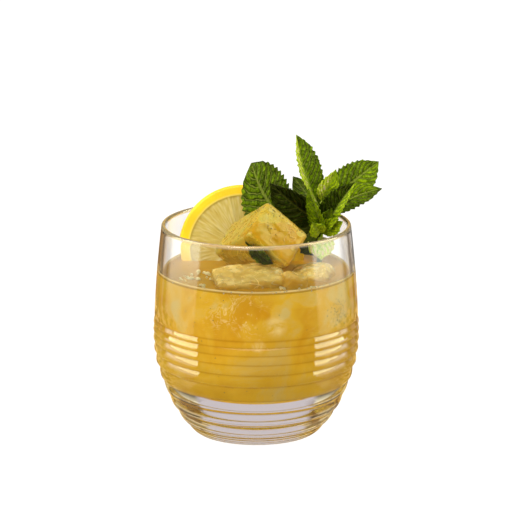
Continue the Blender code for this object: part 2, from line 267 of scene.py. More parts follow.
def bakeTree(obj, tree, values):  # the tree's result becomes the object's own mesh
    modifier = obj.modifiers.new(tree.name, "NODES")
    modifier.node_group = tree
    for item in tree.interface.items_tree:
        if item.item_type == "SOCKET" and item.in_out == "INPUT" and item.name in values:
            modifier[item.identifier] = values[item.name]
    graph = bpy.context.evaluated_depsgraph_get()
    mesh = bpy.data.meshes.new_from_object(obj.evaluated_get(graph))
    obj.modifiers.clear()
    obj.data = mesh
    return obj


# Geometry Nodes: a profile turned about Z

def turningTree(finish):
    sockets = [("Profile", "Geometry"), ("Segments", "Int"), ("Weld", "Float")]
    tree, given = geometryTree("Turned wall", sockets, "Wall")
    size = geometryNode(tree, "AttributeDomainSize", {"Geometry": given["Profile"]})
    rows, rings = size.outputs["Point Count"], plus(given["Segments"], 1.0)
    grid = geometryNode(tree, "MeshGrid", {"Vertices X": rows, "Vertices Y": rings})  # a metre wide
    across = splitPlace(geometryNode(tree, "InputPosition").outputs[0])
    row = calc("ROUND", times(plus(across[0], 0.5), minus(rows, 1.0)))
    angle = times(plus(across[1], 0.5), tau)
    wanted = {"Geometry": given["Profile"], "Index": row}
    read = geometryNode(tree, "SampleIndex", wanted, data_type="FLOAT_VECTOR", domain="POINT")
    tree.links.new(geometryNode(tree, "InputPosition").outputs[0], inUse(read.inputs, "Value")[0])
    radius, _, height = splitPlace(inUse(read.outputs)[0])
    x, y = times(radius, calc("COSINE", angle)), times(radius, calc("SINE", angle))
    place = fieldNode("CombineXYZ", {"X": x, "Y": y, "Z": height}).outputs[0]
    bent = geometryNode(tree, "SetPosition", {"Geometry": grid.outputs["Mesh"], "Position": place})
    closed = geometryNode(tree, "MergeByDistance", {"Geometry": bent.outputs[0], "Distance": given["Weld"]})
    return endTree(tree, smoothed(tree, closed.outputs[0]), finish)


def turnedPiece(name, profile, segments, finish, weld=0.004 * mm):
    mesh = bpy.data.meshes.new(name)
    edges = [(index, index + 1) for index in range(len(profile) - 1)]
    mesh.from_pydata([(radius, 0.0, height) for radius, height in profile], edges, [])
    obj = bakeTree(addObject(name, mesh), turningTree(finish), {"Segments": segments, "Weld": weld})
    faceOutwards(obj.data)
    return obj


# Geometry Nodes: bits scattered on a surface, thickest where the surface's "patch" value is high

def scatterTree(finish):
    sockets = [("Surface", "Geometry"), ("Density", "Float"), ("Smallest", "Float"), ("Largest", "Float")]
    sockets += [("Flatness", "Float"), ("Seed", "Int"), ("Roundness", "Int")]
    tree, given = geometryTree("Scattered bits", sockets, "Bits")
    patch = geometryNode(tree, "InputNamedAttribute", {"Name": "patch"}, data_type="FLOAT").outputs[0]
    shower = {"Mesh": given["Surface"], "Seed": given["Seed"], "Density": times(given["Density"], patch)}
    spots = geometryNode(tree, "DistributePointsOnFaces", shower)
    ball = geometryNode(tree, "MeshIcoSphere", {"Subdivisions": given["Roundness"]})
    size = newNode(tree, "FunctionNodeRandomValue", {"Seed": given["Seed"]}, data_type="FLOAT")
    for source, socket in zip((given["Smallest"], given["Largest"]), inUse(size.inputs, "Min", "Max")):
        tree.links.new(source, socket)
    radius = inUse(size.outputs)[0]
    flat = fieldNode("CombineXYZ", {"X": radius, "Y": radius, "Z": times(radius, given["Flatness"])})
    spin = newNode(tree, "FunctionNodeRandomValue", data_type="FLOAT_VECTOR")
    inUse(spin.inputs, "Max")[0].default_value = (tau, tau, tau)
    laid = {"Points": spots.outputs["Points"], "Instance": smoothed(tree, ball.outputs["Mesh"])}
    laid |= {"Rotation": inUse(spin.outputs)[0], "Scale": flat.outputs[0]}
    placed = geometryNode(tree, "InstanceOnPoints", laid)
    return endTree(tree, placed.outputs[0], finish)


def scatteredPiece(name, surface, patch, finish, values):  # patch gives a point's share from 0 to 1
    mesh = surface.copy()
    paint(mesh, "patch", [patch(point.co) for point in mesh.vertices])
    return bakeTree(addObject(name, mesh), scatterTree(finish), values)


# Camera, table and light

studio = {
    "cameraFar": 1.95,
    "cameraRise": radians(14.5),
    "cameraAim": 80.0 * mm,
    "frameWidth": 228.6 * mm,
    "frameShift": -0.25 / 512,
    "panelFar": 3.0,
    "panelTurn": 90.5,
    "panelWidth": 2.49,
    "panelHeight": 3.3,
    "panelLow": 0.06,  # the gap between the table and the panels
    "panelBright": 8.0,
    "panelColour": (0.88, 1.0, 0.72),
    "keyPlace": (-0.35, -0.75, 0.95),
    "keySize": 0.5,
    "keyPower": 9.0,
    "roomLow": (0.30, 0.18, 0.07, 1.0),
    "roomHigh": (0.56, 0.48, 0.38, 1.0),
    "roomRise": (0.12, 0.45),  # from the low colour to the high one
    "overhead": (1.0, 1.0, 1.02, 1.0),
    "overheadRise": (0.45, 0.9),
    "card": (0.62, 0.56, 0.58, 1.0),  # a pale card behind the glass
    "cardWarm": (0.52, 0.38, 0.16, 1.0),  # the same card as wet surfaces mirror it
    "cardFrom": (1.6, 1.85),  # depth over width
    "streaks": [  # what shows through the glass, from low to high
        (0.00, (0.30, 0.18, 0.06, 1.0)), (0.20, (0.80, 0.52, 0.14, 1.0)), (0.28, (0.05, 0.03, 0.01, 1.0)),
        (0.34, (1.0, 0.90, 0.62, 1.0)), (0.40, (0.30, 0.17, 0.04, 1.0)), (0.47, (1.0, 0.74, 0.26, 1.0)),
        (0.54, (0.04, 0.02, 0.01, 1.0)), (0.62, (0.86, 0.66, 0.34, 1.0)), (0.70, (0.26, 0.15, 0.05, 1.0)),
        (0.80, (1.0, 0.86, 0.56, 1.0)), (1.00, (0.56, 0.44, 0.30, 1.0)),
    ],
    "streakRise": (-0.25, 0.65),
    "frontStrip": (3.0, 2.7, 2.1, 1.0),  # a lit strip in front, seen only where something mirrors it
    "frontStripFrom": (0.26, 0.29),
    "frontStripTo": (0.38, 0.42),
    "frontStripSide": (-1.2, -0.9),
    "domeLow": (0.70, 0.69, 0.67, 1.0),  # what lights matt things
    "domeHigh": (1.36, 1.37, 1.38, 1.0),
    "domeLean": (-0.42, -0.30, 0.86),
}

# "From" and "To" are ranges of a spot's depth over its width, and "Out", "Back" and "Front" are distances.
table = {
    "width": 24.0,
    "drop": 0.15 * mm,
    "dark": srgb(52, 40, 26),  # what the glass shows of the table; the camera sees it white
    "light": srgb(66, 52, 34),
    "stripFrom": (-0.40, -0.34),  # lit strips at either side of the glass
    "stripTo": (0.45, 0.60),
    "stripOut": (60 * mm, 110 * mm),
    "stripNear": 0.9,
    "stripFar": 3.4,
    "stripColour": (1.0, 0.92, 0.74, 1.0),
    "stripCool": (0.84, 0.96, 1.0, 1.0),
    "coolOut": (0.36, 1.0),
    "wedgeFrom": (4.3, 5.0),  # the pale part behind the glass
    "wedgeRightFrom": (2.0, 2.3),
    "wedgeStraightFrom": (1.45, 1.75),
    "wedgeBack": (292 * mm, 300 * mm),
    "wedgeStraightBack": (235 * mm, 250 * mm),
    "wedgeGlow": 0.95,
    "mirrored": 0.25,  # how much of it wet surfaces mirror
    "brownFrom": (0.7, 0.9),
    "brownOut": (250 * mm, 265 * mm),
    "brownLeft": (0.36, 0.17, 0.03, 1.0),  # what each wall catches from behind
    "brownRight": (0.46, 0.40, 0.36, 1.0),
    "lineFrom": (1.05, 1.15),
    "lineTo": (1.5, 1.6),
    "lineColour": (0.06, 0.03, 0.01, 1.0),  # a dark line, only in light that was mirrored on its way
    "amberOut": (290 * mm, 300 * mm),  # the drink's own light on the table
    "amberFront": (-40 * mm, 20 * mm),
    "amberGlow": 0.95,
    "amberStops": [
        (0.41, srgb(24, 14, 4)), (0.46, srgb(150, 92, 20)),
        (0.50, (0.90, 0.55, 0.10, 1.0)), (0.57, srgb(255, 232, 160)),
    ],
    # a painted pool of the drink's amber light on the table round the glass's foot, seen through the base
    "footOut": (30 * mm, 36 * mm),
    "footAmberLight": (0.66, 0.36, 0.03, 1.0),
    "bounce": 1.0,  # what the table gives back to matt things
    "bounceColour": (1.0, 0.98, 0.94, 1.0),
}


def towardCamera():
    return Vector((0.0, -cos(studio["cameraRise"]), sin(studio["cameraRise"])))


def makeCamera():
    camera = bpy.data.objects.new("camera", bpy.data.cameras.new("camera"))
    scene.collection.objects.link(camera)
    camera.location = Vector((0.0, 0.0, studio["cameraAim"])) + towardCamera() * studio["cameraFar"]
    camera.rotation_euler = (pi / 2 - studio["cameraRise"], 0.0, 0.0)
    camera.data.lens = camera.data.sensor_width * studio["cameraFar"] / studio["frameWidth"]
    camera.data.shift_x = studio["frameShift"]
    camera.data.clip_end = 50.0
    scene.camera = camera


def makeTable():
    material, shader, place = newMaterial("pale table", {"Roughness": 0.7})
    link(mix(noiseField(place, 60.0), table["dark"], table["light"]), shader, "Base Color")
    x, y, _ = splitPlace(place)
    wide, away = absolute(x), vectorCalc("LENGTH", place, output="Value")
    beside = calc("DIVIDE", y, larger(wide, 0.0001))
    right = calc("GREATER_THAN", x, 0.0)
    ray = newNode(shader.id_data, "ShaderNodeLightPath").outputs
    straight = calc("LESS_THAN", ray["Glossy Depth"], 0.5)  # never mirrored inside the wall
    soft = calc("GREATER_THAN", ray["Diffuse Depth"], 0.5)

    strip = times(remap(beside, *table["stripFrom"]), fading(beside, *table["stripTo"]))
    strip = times(strip, remap(wide, *table["stripOut"]))
    wedge = larger(times(remap(beside, *table["wedgeRightFrom"]), right), remap(beside, *table["wedgeFrom"]))
    wedge = larger(wedge, times(remap(beside, *table["wedgeStraightFrom"]), straight))
    back = larger(remap(y, *table["wedgeBack"]), times(remap(y, *table["wedgeStraightBack"]), straight))
    wedgeBack = times(wedge, back)
    dimmed = remap(ray["Is Reflection Ray"], 0.0, 1.0, 1.0, table["mirrored"])
    brown = times(remap(beside, *table["brownFrom"]), inverse(wedge), remap(away, *table["brownOut"]))
    cool = remap(away, *table["coolOut"])
    amber = times(fading(away, *table["amberOut"]), remap(y, *table["amberFront"]), inverse(wedgeBack))
    glow = times(strip, remap(cool, 0.0, 1.0, table["stripNear"], table["stripFar"]))
    glow = larger(plus(glow, times(wedgeBack, dimmed, table["wedgeGlow"])), brown)
    glow = larger(larger(glow, times(soft, table["bounce"])), times(amber, table["amberGlow"]))
    link(larger(glow, ray["Is Camera Ray"]), shader, "Emission Strength")

    beam = mix(cool, table["stripColour"], table["stripCool"])
    ambers = ramp(noiseField(place, 38.0, 2.0), table["amberStops"])
    line = times(remap(beside, *table["lineFrom"]), fading(beside, *table["lineTo"]), inverse(straight))
    tan = mix(line, mix(right, table["brownLeft"], table["brownRight"]), table["lineColour"])
    colour = mix(amber, mix(smaller(strip, 1.0), white, beam), ambers)
    colour = mix(brown, colour, tan)
    # painted amber light round the foot
    colour = mix(fading(away, *table["footOut"]), colour, table["footAmberLight"])
    colour = mix(soft, colour, table["bounceColour"])
    link(mix(ray["Is Camera Ray"], colour, white), shader, "Emission Color")

    half, low = table["width"] / 2, -table["drop"]
    corners = [(-half, -half, low), (half, -half, low), (half, half, low), (-half, half, low)]
    floor = addObject("table", meshOf("table", corners, [(0, 1, 2, 3)]), material)


def addPanel(name, place, aim, width, height, power):
    light = bpy.data.lights.new(name, "AREA")
    light.shape = "RECTANGLE"
    light.size, light.size_y = width, height
    light.energy = power
    panel = bpy.data.objects.new(name, light)
    scene.collection.objects.link(panel)
    panel.location = place
    panel.rotation_euler = (Vector(aim) - Vector(place)).to_track_quat("-Z", "Y").to_euler()
    panel.visible_camera = False
    return panel


def makeLights():
    far, width, tall = studio["panelFar"], studio["panelWidth"], studio["panelHeight"]
    for side in (-1, 1):
        turn = radians(studio["panelTurn"]) * side
        place = Vector((far * sin(turn), -far * cos(turn), studio["panelLow"] + tall / 2))
        power = studio["panelBright"] * pi * width * tall
        panel = addPanel("side panel", place, (0.0, 0.0, place.z), width, tall, power)
        panel.visible_diffuse = False  # they only show as reflections
        panel.visible_transmission = False
        panel.data.color = studio["panelColour"]
    size = studio["keySize"]
    addPanel("key", studio["keyPlace"], (0.0, 0.0, 0.07), size, size, studio["keyPower"])


def makeRoom():
    world = bpy.data.worlds.new("white studio")
    scene.world = world
    world.use_nodes = True
    tree = world.node_tree
    tree.nodes.clear()
    toward = newNode(tree, "ShaderNodeTexCoord").outputs["Generated"]
    x, y, up = splitPlace(toward)
    ray = newNode(tree, "ShaderNodeLightPath").outputs
    through = ray["Is Transmission Ray"]
    beside = calc("DIVIDE", y, larger(absolute(x), 0.0001))
    room = mix(eased(up, *studio["roomRise"]), studio["roomLow"], studio["roomHigh"])
    room = mix(through, room, ramp(remap(up, *studio["streakRise"]), studio["streaks"]))
    card = mix(through, studio["cardWarm"], studio["card"])
    room = mix(remap(beside, *studio["cardFrom"]), room, card)
    room = mix(eased(up, *studio["overheadRise"]), room, studio["overhead"])
    strip = times(remap(up, *studio["frontStripFrom"]), fading(up, *studio["frontStripTo"]))
    strip = times(strip, fading(beside, *studio["frontStripSide"]), ray["Is Reflection Ray"])
    room = mix(strip, room, studio["frontStrip"])
    lean = vectorCalc("DOT_PRODUCT", toward, studio["domeLean"], output="Value")
    dome = mix(remap(lean, -0.5, 1.0), studio["domeLow"], studio["domeHigh"])
    room = mix(calc("GREATER_THAN", ray["Diffuse Depth"], 0.5), room, dome)
    colour = mix(ray["Is Camera Ray"], room, white)
    light = fieldNode("Background", {"Color": colour})
    newNode(tree, "ShaderNodeOutputWorld", {"Surface": light.outputs[0]})
    scene.view_settings.view_transform = "Standard"


makeCamera()
makeTable()
makeLights()
makeRoom()
print("camera, table and lights set")


# The tumbler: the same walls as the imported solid, with fine ribs and a round lip

tumbler = {
    "height": 95.0 * mm,
    "bellyRadius": 45.75 * mm,
    "bellyHeight": 45.0 * mm,
    "rimRadius": 42.2 * mm,
    "footRadius": 26.8 * mm,
    "shoulderPower": 1.7,
    "bellyPull": 9.0 * mm,
    "footPull": 18.0 * mm,
    "footFlare": radians(40.0),
    "rimWall": 1.9 * mm,
    "bellyWall": 2.8 * mm,
    "bowlTop": 44.0 * mm,
    "bowlFloor": 19.5 * mm,
    "bowlPower": 2.6,
    "ribTop": 52.8 * mm,
    "firstRib": 3.1 * mm,
    "tallestRib": 6.7 * mm,
    "ribGrowth": 1.17,
    "ribCount": 10,
    "bulges": [0.30, 0.36, 0.38, 0.62, 0.80, 0.60, 0.36, 0.60, 0.60, 0.50],  # mm, from the top rib down
    "valleyCuts": [0.10, 0.24, 0.28, 0.42, 0.60, 0.60, 0.14, 0.10, 0.30, 0.30, 0.0],
    "flatRibs": 6,  # the upper ribs slope nearly straight from their low crests
    "flatCrest": 0.30,
    "flatPower": 1.25,
    "crestDrop": 0.34,  # how far the lower ribs' crests sit under their middles
    "ribPower": 0.88,
    "ribSteps": 14,
    "valleyWidth": 0.42 * mm,
    # painted shade along the rib valleys
    "valleyShade": (0.70, 0.56, 0.34, 1.0),
    "clearTints": [(0.975, 0.975, 0.985, 1.0), (0.995, 0.995, 1.0, 1.0)],
    "streakScale": 95.0,
    "footShadeStreak": (0.26, 0.16, 0.06, 1.0),  # painted shade: dark streaks in the thick foot, at either side
    "streakOut": (21 * mm, 25 * mm),
    "streakTop": (18 * mm, 26 * mm),
    "lipFrom": (93.2 * mm, 93.8 * mm),
    # a tan tint painted on the lip: painted reflection of the amber drink and the room
    "lipReflectionTint": (0.84, 0.68, 0.38, 1.0),
    "lipReflectionShare": 0.27,  # the share of the lip that shows its painted tan reflection instead of clear glass
    "filmRough": 0.03,
    "smoothRows": 30,
    "segments": 224,
}


def lowerWall(height):  # the outer wall under the belly is one Bezier curve
    start = Vector((tumbler["bellyRadius"], tumbler["bellyHeight"]))
    end = Vector((tumbler["footRadius"], 0.0))
    flare = tumbler["footFlare"]
    pull = start - Vector((0.0, tumbler["bellyPull"]))
    push = end + tumbler["footPull"] * Vector((cos(flare), sin(flare)))
    low, high = 0.0, 1.0
    for _ in range(40):
        t = (low + high) / 2
        rest = 1 - t
        point = rest**3 * start + 3 * rest * rest * t * pull + 3 * rest * t * t * push + t**3 * end
        if point.y > height:
            low = t
        else:
            high = t
    return point.x


def wallRadius(height):
    if height < tumbler["bellyHeight"]:
        return lowerWall(height)
    belly, rim = tumbler["bellyRadius"], tumbler["rimRadius"]
    part = (height - tumbler["bellyHeight"]) / (tumbler["height"] - tumbler["bellyHeight"])
    return belly - (belly - rim) * part ** tumbler["shoulderPower"]


def innerRadius(height):
    top, floor, power = tumbler["bowlTop"], tumbler["bowlFloor"], tumbler["bowlPower"]
    if height < top:
        part = min(1.0, (top - height) / (top - floor))
        return innerRadius(top) * (1 - part**power) ** (1 / power)
    part = (height - top) / (tumbler["height"] - top)
    return wallRadius(height) - (tumbler["bellyWall"] + (tumbler["rimWall"] - tumbler["bellyWall"]) * part)


def bowlProfile(offset, top, wallRows, bowlRows):  # the inner wall from a height down to its floor
    start = tumbler["bowlTop"]
    points = []
    for step in range(wallRows):
        height = top + (start - top) * step / wallRows
        points.append((innerRadius(height) - offset, height))
    reach = innerRadius(start) - offset
    depth = start - tumbler["bowlFloor"] - offset
    power = 2 / tumbler["bowlPower"]
    for step in range(bowlRows):
        turn = pi / 2 * step / bowlRows
        points.append((reach * cos(turn) ** power, start - depth * sin(turn) ** power))
    return points + [(0.0, tumbler["bowlFloor"] + offset)]


def ribValleys():  # the heights where two ribs meet, from the top down
    valleys = [tumbler["ribTop"]]
    for index in range(tumbler["ribCount"] - 1):
        tall = tumbler["firstRib"] * tumbler["ribGrowth"] ** index
        valleys.append(valleys[-1] - min(tall, tumbler["tallestRib"]))
    return valleys


def tumblerProfile():
    valleys = (ribValleys() + [0.0])[::-1]
    foot = tumbler["footRadius"]
    points = [(0.0, 0.0), (foot * 0.4, 0.0), (foot * 0.8, 0.0), (foot - 0.6 * mm, 0.0)]
    cuts = tumbler["valleyCuts"][::-1]
    bulges = tumbler["bulges"][::-1]
    for index, (low, high) in enumerate(zip(valleys, valleys[1:])):
        share = index / (tumbler["ribCount"] - 1)
        bulge = bulges[index] * mm
        skew = 1 - tumbler["crestDrop"] * min(1.0, 2 * (1 - share))
        for step in range(tumbler["ribSteps"]):
            part = 0.5 - 0.5 * cos(pi * step / tumbler["ribSteps"])
            height = low + (high - low) * part
            cut = (cuts[index] + (cuts[index + 1] - cuts[index]) * part) * mm
            shape = max(0.0, sin(pi * part**skew)) ** tumbler["ribPower"]
            crest = tumbler["flatCrest"]
            if index >= tumbler["ribCount"] - tumbler["flatRibs"]:
                shape = sin(pi / 2 * min(1.0, part / crest)) ** tumbler["ribPower"]
                shape -= max(0.0, (part - crest) / (1 - crest)) ** tumbler["flatPower"]
            points.append((wallRadius(height) - cut + (bulge + cut) * shape, height))
    lip = tumbler["height"] - tumbler["rimWall"] / 2
    for step in range(tumbler["smoothRows"] + 1):
        height = tumbler["ribTop"] + (lip - tumbler["ribTop"]) * (step / tumbler["smoothRows"]) ** 1.6
        cut = cuts[-1] * mm * max(0.0, 1 - (height - tumbler["ribTop"]) / mm) ** 2
        points.append((wallRadius(height) - cut, height))
    middle = (wallRadius(lip) + innerRadius(lip)) / 2
    half = (wallRadius(lip) - innerRadius(lip)) / 2
    for step in range(1, 10):
        turn = pi * step / 10
        points.append((middle + half * cos(turn), lip + half * sin(turn)))
    return points + bowlProfile(0.0, lip, 24, 28)


def paintValleyShade(mesh):  # painted shade: the fine lines where two ribs meet are tinted darker
    valleys = ribValleys()
    marks = []
    for point in mesh.vertices:
        radius, height = hypot(point.co.x, point.co.y), point.co.z
        outside = height > 0.5 * mm and radius > wallRadius(height) - 1.2 * mm
        off = min(abs(height - valley) for valley in valleys)
        marks.append(exp(-((off / tumbler["valleyWidth"]) ** 2)) if outside else 0.0)
    paint(mesh, "valley", marks)


def glassFinish():
    material, shader, place = newMaterial("clear glass", {"IOR": 1.5})
    clear = mix(noiseField(place, 25.0, 2.0), *tumbler["clearTints"])
    # painted shade: a darker tint along the rib valleys
    clear = mix(painted(shader, "valley"), clear, tumbler["valleyShade"])
    x, _, height = splitPlace(place)
    # painted shade: dark streaks low in the foot, at either side
    flat = vectorCalc("MULTIPLY", place, (1.0, 1.0, 3.2))  # wide, low streaks
    streaks = remap(noiseField(flat, tumbler["streakScale"], 2.0), 0.49, 0.56)
    streaks = times(streaks, fading(height, *tumbler["streakTop"]))
    streaks = times(streaks, remap(absolute(x), *tumbler["streakOut"]))
    clear = mix(streaks, clear, tumbler["footShadeStreak"])
    # painted reflection: the lip is tinted tan and made partly not clear
    lip = remap(height, *tumbler["lipFrom"])
    link(mix(lip, clear, tumbler["lipReflectionTint"]), shader, "Base Color")
    link(remap(lip, 0.0, 1.0, 1.0, 1.0 - tumbler["lipReflectionShare"]), shader, "Transmission Weight")
    film = noiseField(place, 90.0, 4.0, 0.6)
    link(remap(film, 0.45, 0.85, 0.0, tumbler["filmRough"]), shader, "Roughness")
    addBump(shader, noiseField(place, 40.0, 1.0), 0.05, 0.3 * mm)
    return material


glass = turnedPiece("tumbler", tumblerProfile(), tumbler["segments"], glassFinish())
paintValleyShade(glass.data)
keepPiece(glass, "clear_glass", "glass")


# The drink: cloudy amber, reaching just into the wall so that no air gap shows

drink = {  # its patches are each a centre and a radius in mm
    "level": 73.5 * mm,
    "reach": 0.12 * mm,
    "creep": 1.3 * mm,  # how high it climbs up the wall
    "creepWidth": 3.2 * mm,
    "ripple": 0.22 * mm,
    "calmRadius": 39.0 * mm,  # no ripple beyond this
    "calmWidth": 6 * mm,
    "segments": 200,
    "deep": srgb(228, 168, 24),
    "middle": srgb(242, 194, 52),
    "pale": srgb(234, 206, 118),
    "frosty": srgb(248, 228, 156),
    "frostyPatches": [
        ((8.4, -41.6, 59.0), 6.5), ((1.0, -42.5, 50.0), 4.0), ((-38.0, 16.0, 62.0), 7.0),
        ((30.0, 30.0, 57.0), 8.0),
    ],
    "cracklePatches": [
        ((-9.0, -41.0, 63.0), 20.0), ((30.0, -30.0, 60.0), 15.0), ((0.0, 40.0, 60.0), 20.0),
    ],
    "palePatches": [
        ((35.0, -29.0, 68.0), 11.0), ((37.0, -26.0, 58.0), 9.0), ((14.0, -43.0, 64.0), 5.0),
        ((-10.0, -44.0, 70.0), 6.0),
    ],
    # darker patches: those at the far left and right edges are painted shade, the rest a deeper amber of the
    # drink
    "deepAndShadedPatches": [
        ((44.0, -6.0, 58.0), 16.0), ((-44.0, -10.0, 60.0), 10.0), ((22.0, -37.0, 60.0), 8.0),
        ((-24.0, -36.0, 68.0), 7.0), ((4.0, -43.0, 66.0), 5.0), ((10.0, 42.0, 60.0), 10.0),
    ],
    "frostyShare": 0.8,
    "film": srgb(250, 222, 150),
    "surface": srgb(168, 120, 20),
    "surfaceShare": 0.68,
    "clear": (0.12, 0.34),
    "rough": (0.06, 0.16),
    # painted light: a brighter amber patch on the surface beside the stem, where the mint's shade falls
    "glow": srgb(252, 186, 14),
    "paintedLightPatches": [((20.9, 13.0, 73.5), 9.0)],
    "absorb": (0.98, 0.86, 0.30, 1.0),
    "absorbDensity": 30.0,
}


def drinkProfile():
    level, creep = drink["level"], drink["creep"]
    points = bowlProfile(-drink["reach"], level + creep, 30, 30)[::-1]
    rim = innerRadius(level + creep) + drink["reach"]
    for step in range(1, 9):
        out = drink["creepWidth"] * (step / 8) ** 1.6
        points.append((rim - out, level + creep * exp(-4.2 * out / drink["creepWidth"])))
    inner = points[-1][0]
    for step in range(1, 34):
        points.append((inner * (1 - step / 34), level))
    return points + [(0.0, level)]


def patchField(place, name):  # how far inside the drink's soft patches of this name
    total = 0.0
    for centre, radius in drink[name]:
        far = vectorCalc("DISTANCE", place, [value * mm for value in centre], output="Value")
        total = plus(total, eased(far, 0.2 * radius * mm, radius * mm, 1.0, 0.0))
    return total


def drinkFinish():
    material, shader, place = newMaterial("cloudy amber drink", {"IOR": 1.2})
    height = splitPlace(place)[2]
    bend = fieldNode("TexNoise", {"Vector": place, "Scale": 60.0, "Detail": 2.0}).outputs["Color"]
    bend = vectorCalc("MULTIPLY", vectorCalc("SUBTRACT", bend, (0.5, 0.5, 0.5)), (0.03, 0.03, 0.03))
    bent = vectorCalc("ADD", place, bend)
    upper = eased(height, 42 * mm, 62 * mm)  # where the sunken ice shows
    softly = {"Vector": bent, "Scale": 70.0, "Smoothness": 0.25}
    facets = fieldNode("TexVoronoi", softly, feature="SMOOTH_F1")
    shapes = minus(splitPlace(facets.outputs["Color"])[0], 0.5)
    cloud = plus(noiseField(place, 38.0, 6.0, 0.62, 0.6), times(shapes, upper, 0.26))
    # darker in those patches: deeper amber, and painted shade at the edges
    cloud = minus(cloud, times(patchField(bent, "deepAndShadedPatches"), 0.15))
    cloud = plus(cloud, times(patchField(bent, "palePatches"), 0.24))
    body = ramp(cloud, [(0.26, drink["deep"]), (0.52, drink["middle"]), (0.76, drink["pale"])])
    grains = remap(noiseField(place, 620.0, 2.0, 0.7), 0.60, 0.72)
    some = remap(noiseField(place, 60.0), 0.42, 0.62)
    crackle = times(patchField(place, "cracklePatches"), some)
    curl = noiseField(bent, 120.0, 3.0, 0.55, 1.6)
    curl = eased(absolute(minus(curl, 0.5)), 0.0, 0.035, 0.75, 0.0)
    lines = times(larger(curl, grains), crackle)
    curls = remap(noiseField(place, 130.0, 4.0, 0.6, 1.2), 0.38, 0.66)
    spots = times(patchField(place, "frostyPatches"), curls)
    frosty = smaller(plus(lines, spots), 1.0)
    body = mix(times(frosty, drink["frostyShare"]), body, drink["frosty"])
    level = drink["level"]
    film = eased(height, level + 0.25 * mm, level + 0.9 * mm)
    link(remap(height, level - 1.0 * mm, level - 0.3 * mm, 0.0, 0.07), shader, "Specular IOR Level")
    top = remap(height, level - 0.4 * mm, level - 0.2 * mm)
    body = mix(times(top, drink["surfaceShare"]), body, drink["surface"])
    # painted light on the surface beside the stem
    body = mix(times(top, patchField(place, "paintedLightPatches")), body, drink["glow"])
    link(mix(film, body, drink["film"]), shader, "Base Color")
    clear = remap(noiseField(place, 22.0), 0.35, 0.65, *drink["clear"])
    link(times(clear, inverse(times(frosty, 0.7))), shader, "Transmission Weight")
    link(remap(noiseField(place, 120.0), 0.3, 0.7, *drink["rough"]), shader, "Roughness")
    absorbLight(shader, drink)
    return material


def rippleTop(mesh):
    level = drink["level"]
    for point in mesh.vertices:
        radius = hypot(point.co.x, point.co.y)
        lively = clamp((drink["calmRadius"] - radius) / drink["calmWidth"])
        if abs(point.co.z - level) < 0.01 * mm and lively > 0.0:
            point.co.z += drink["ripple"] * lively * noise.noise(point.co * 110.0)


pour = turnedPiece("cloudy_drink", drinkProfile(), drink["segments"], drinkFinish())
rippleTop(pour.data)
keepPiece(pour, "drink", "drink")


# Ice: melted blocks with frosted edges, the ones that break the surface and those sunk in the drink

# Only the block that stands in the air has the last value: it is frosted, the others are wet.
blockColumns = "size centre turn melt lumps seed frostFrom"
dryTones = [srgb(228, 174, 2), srgb(234, 194, 34), srgb(190, 172, 60), srgb(170, 164, 86)]
wetTones = [srgb(238, 190, 52), srgb(240, 202, 76), srgb(242, 220, 128), srgb(242, 228, 160)]

ice = {
    "blocks": named(blockColumns, {
        "ice_cube_top": ((20.0, 24.2, 34.0), (2.0, -4.5, 86.6), (54.4, -36.2, 55.1), 2.2, 0.15, 3.0, -9.0),
        "ice_cube_front": ((31.0, 22.0, 25.0), (-3.0, -20.0, 66.2), (8.0, -4.0, 9.0), 3.4, 0.9, 11.0),
        "ice_cube_right": ((19.0, 19.0, 29.0), (26.2, -9.5, 62.9), (4.0, -10.0, -15.0), 4.2, 0.9, 19.0),
        "ice_chip": ((10.0, 9.0, 19.0), (15.2, -28.0, 69.8), (6.0, 14.0, 24.0), 2.6, 0.7, 27.0),
    }),
    "sunken": named(blockColumns, {
        "left": ((22.0, 20.0, 20.0), (-18.0, -17.0, 46.0), (12.0, 20.0, 30.0), 3.0, 0.6, 35.0),
        "right": ((22.0, 20.0, 20.0), (12.0, -20.0, 43.0), (-14.0, 10.0, -22.0), 3.0, 0.6, 43.0),
        "back": ((23.0, 22.0, 24.0), (2.0, 20.0, 50.0), (8.0, -12.0, 40.0), 3.0, 0.6, 51.0),
    }),
    "cells": 44,
    "sunkenCells": 16,
    "pits": 0.10,
    "chips": 1.0,  # relief of the wet blocks' creases
    "finishes": named("clear ior lined tones", {  # the third value is how strongly the pale wavy lines show, painted highlights along ripples
        "cloudy ice": (0.62, 1.31, 0.15, dryTones),
        "wet ice": (0.54, 1.31, 0.9, wetTones),
        "sunken ice": (0.35, 1.05, 0.6, wetTones),
    }),
    "crumbTones": [srgb(190, 172, 60), srgb(244, 232, 190)],
    # the colour of the painted highlight lines
    "line": srgb(250, 232, 160),
    "specularTint": (1.0, 0.86, 0.36, 1.0),
    "absorb": (0.995, 0.96, 0.10, 1.0),
    "absorbDensity": 140.0,
    "peak": (4.35, 23.45),  # the tall block's top, as the camera sees it
    "slopes": [(0.704, -0.710, 2.8), (-0.627, -0.779, 2.3)],  # the way in from an edge, and its frost
    "ridgeLow": 14.2,  # all of it above this is frosted
}


def turnOf(spec):
    return Euler([radians(angle) for angle in spec["turn"]]).to_matrix()


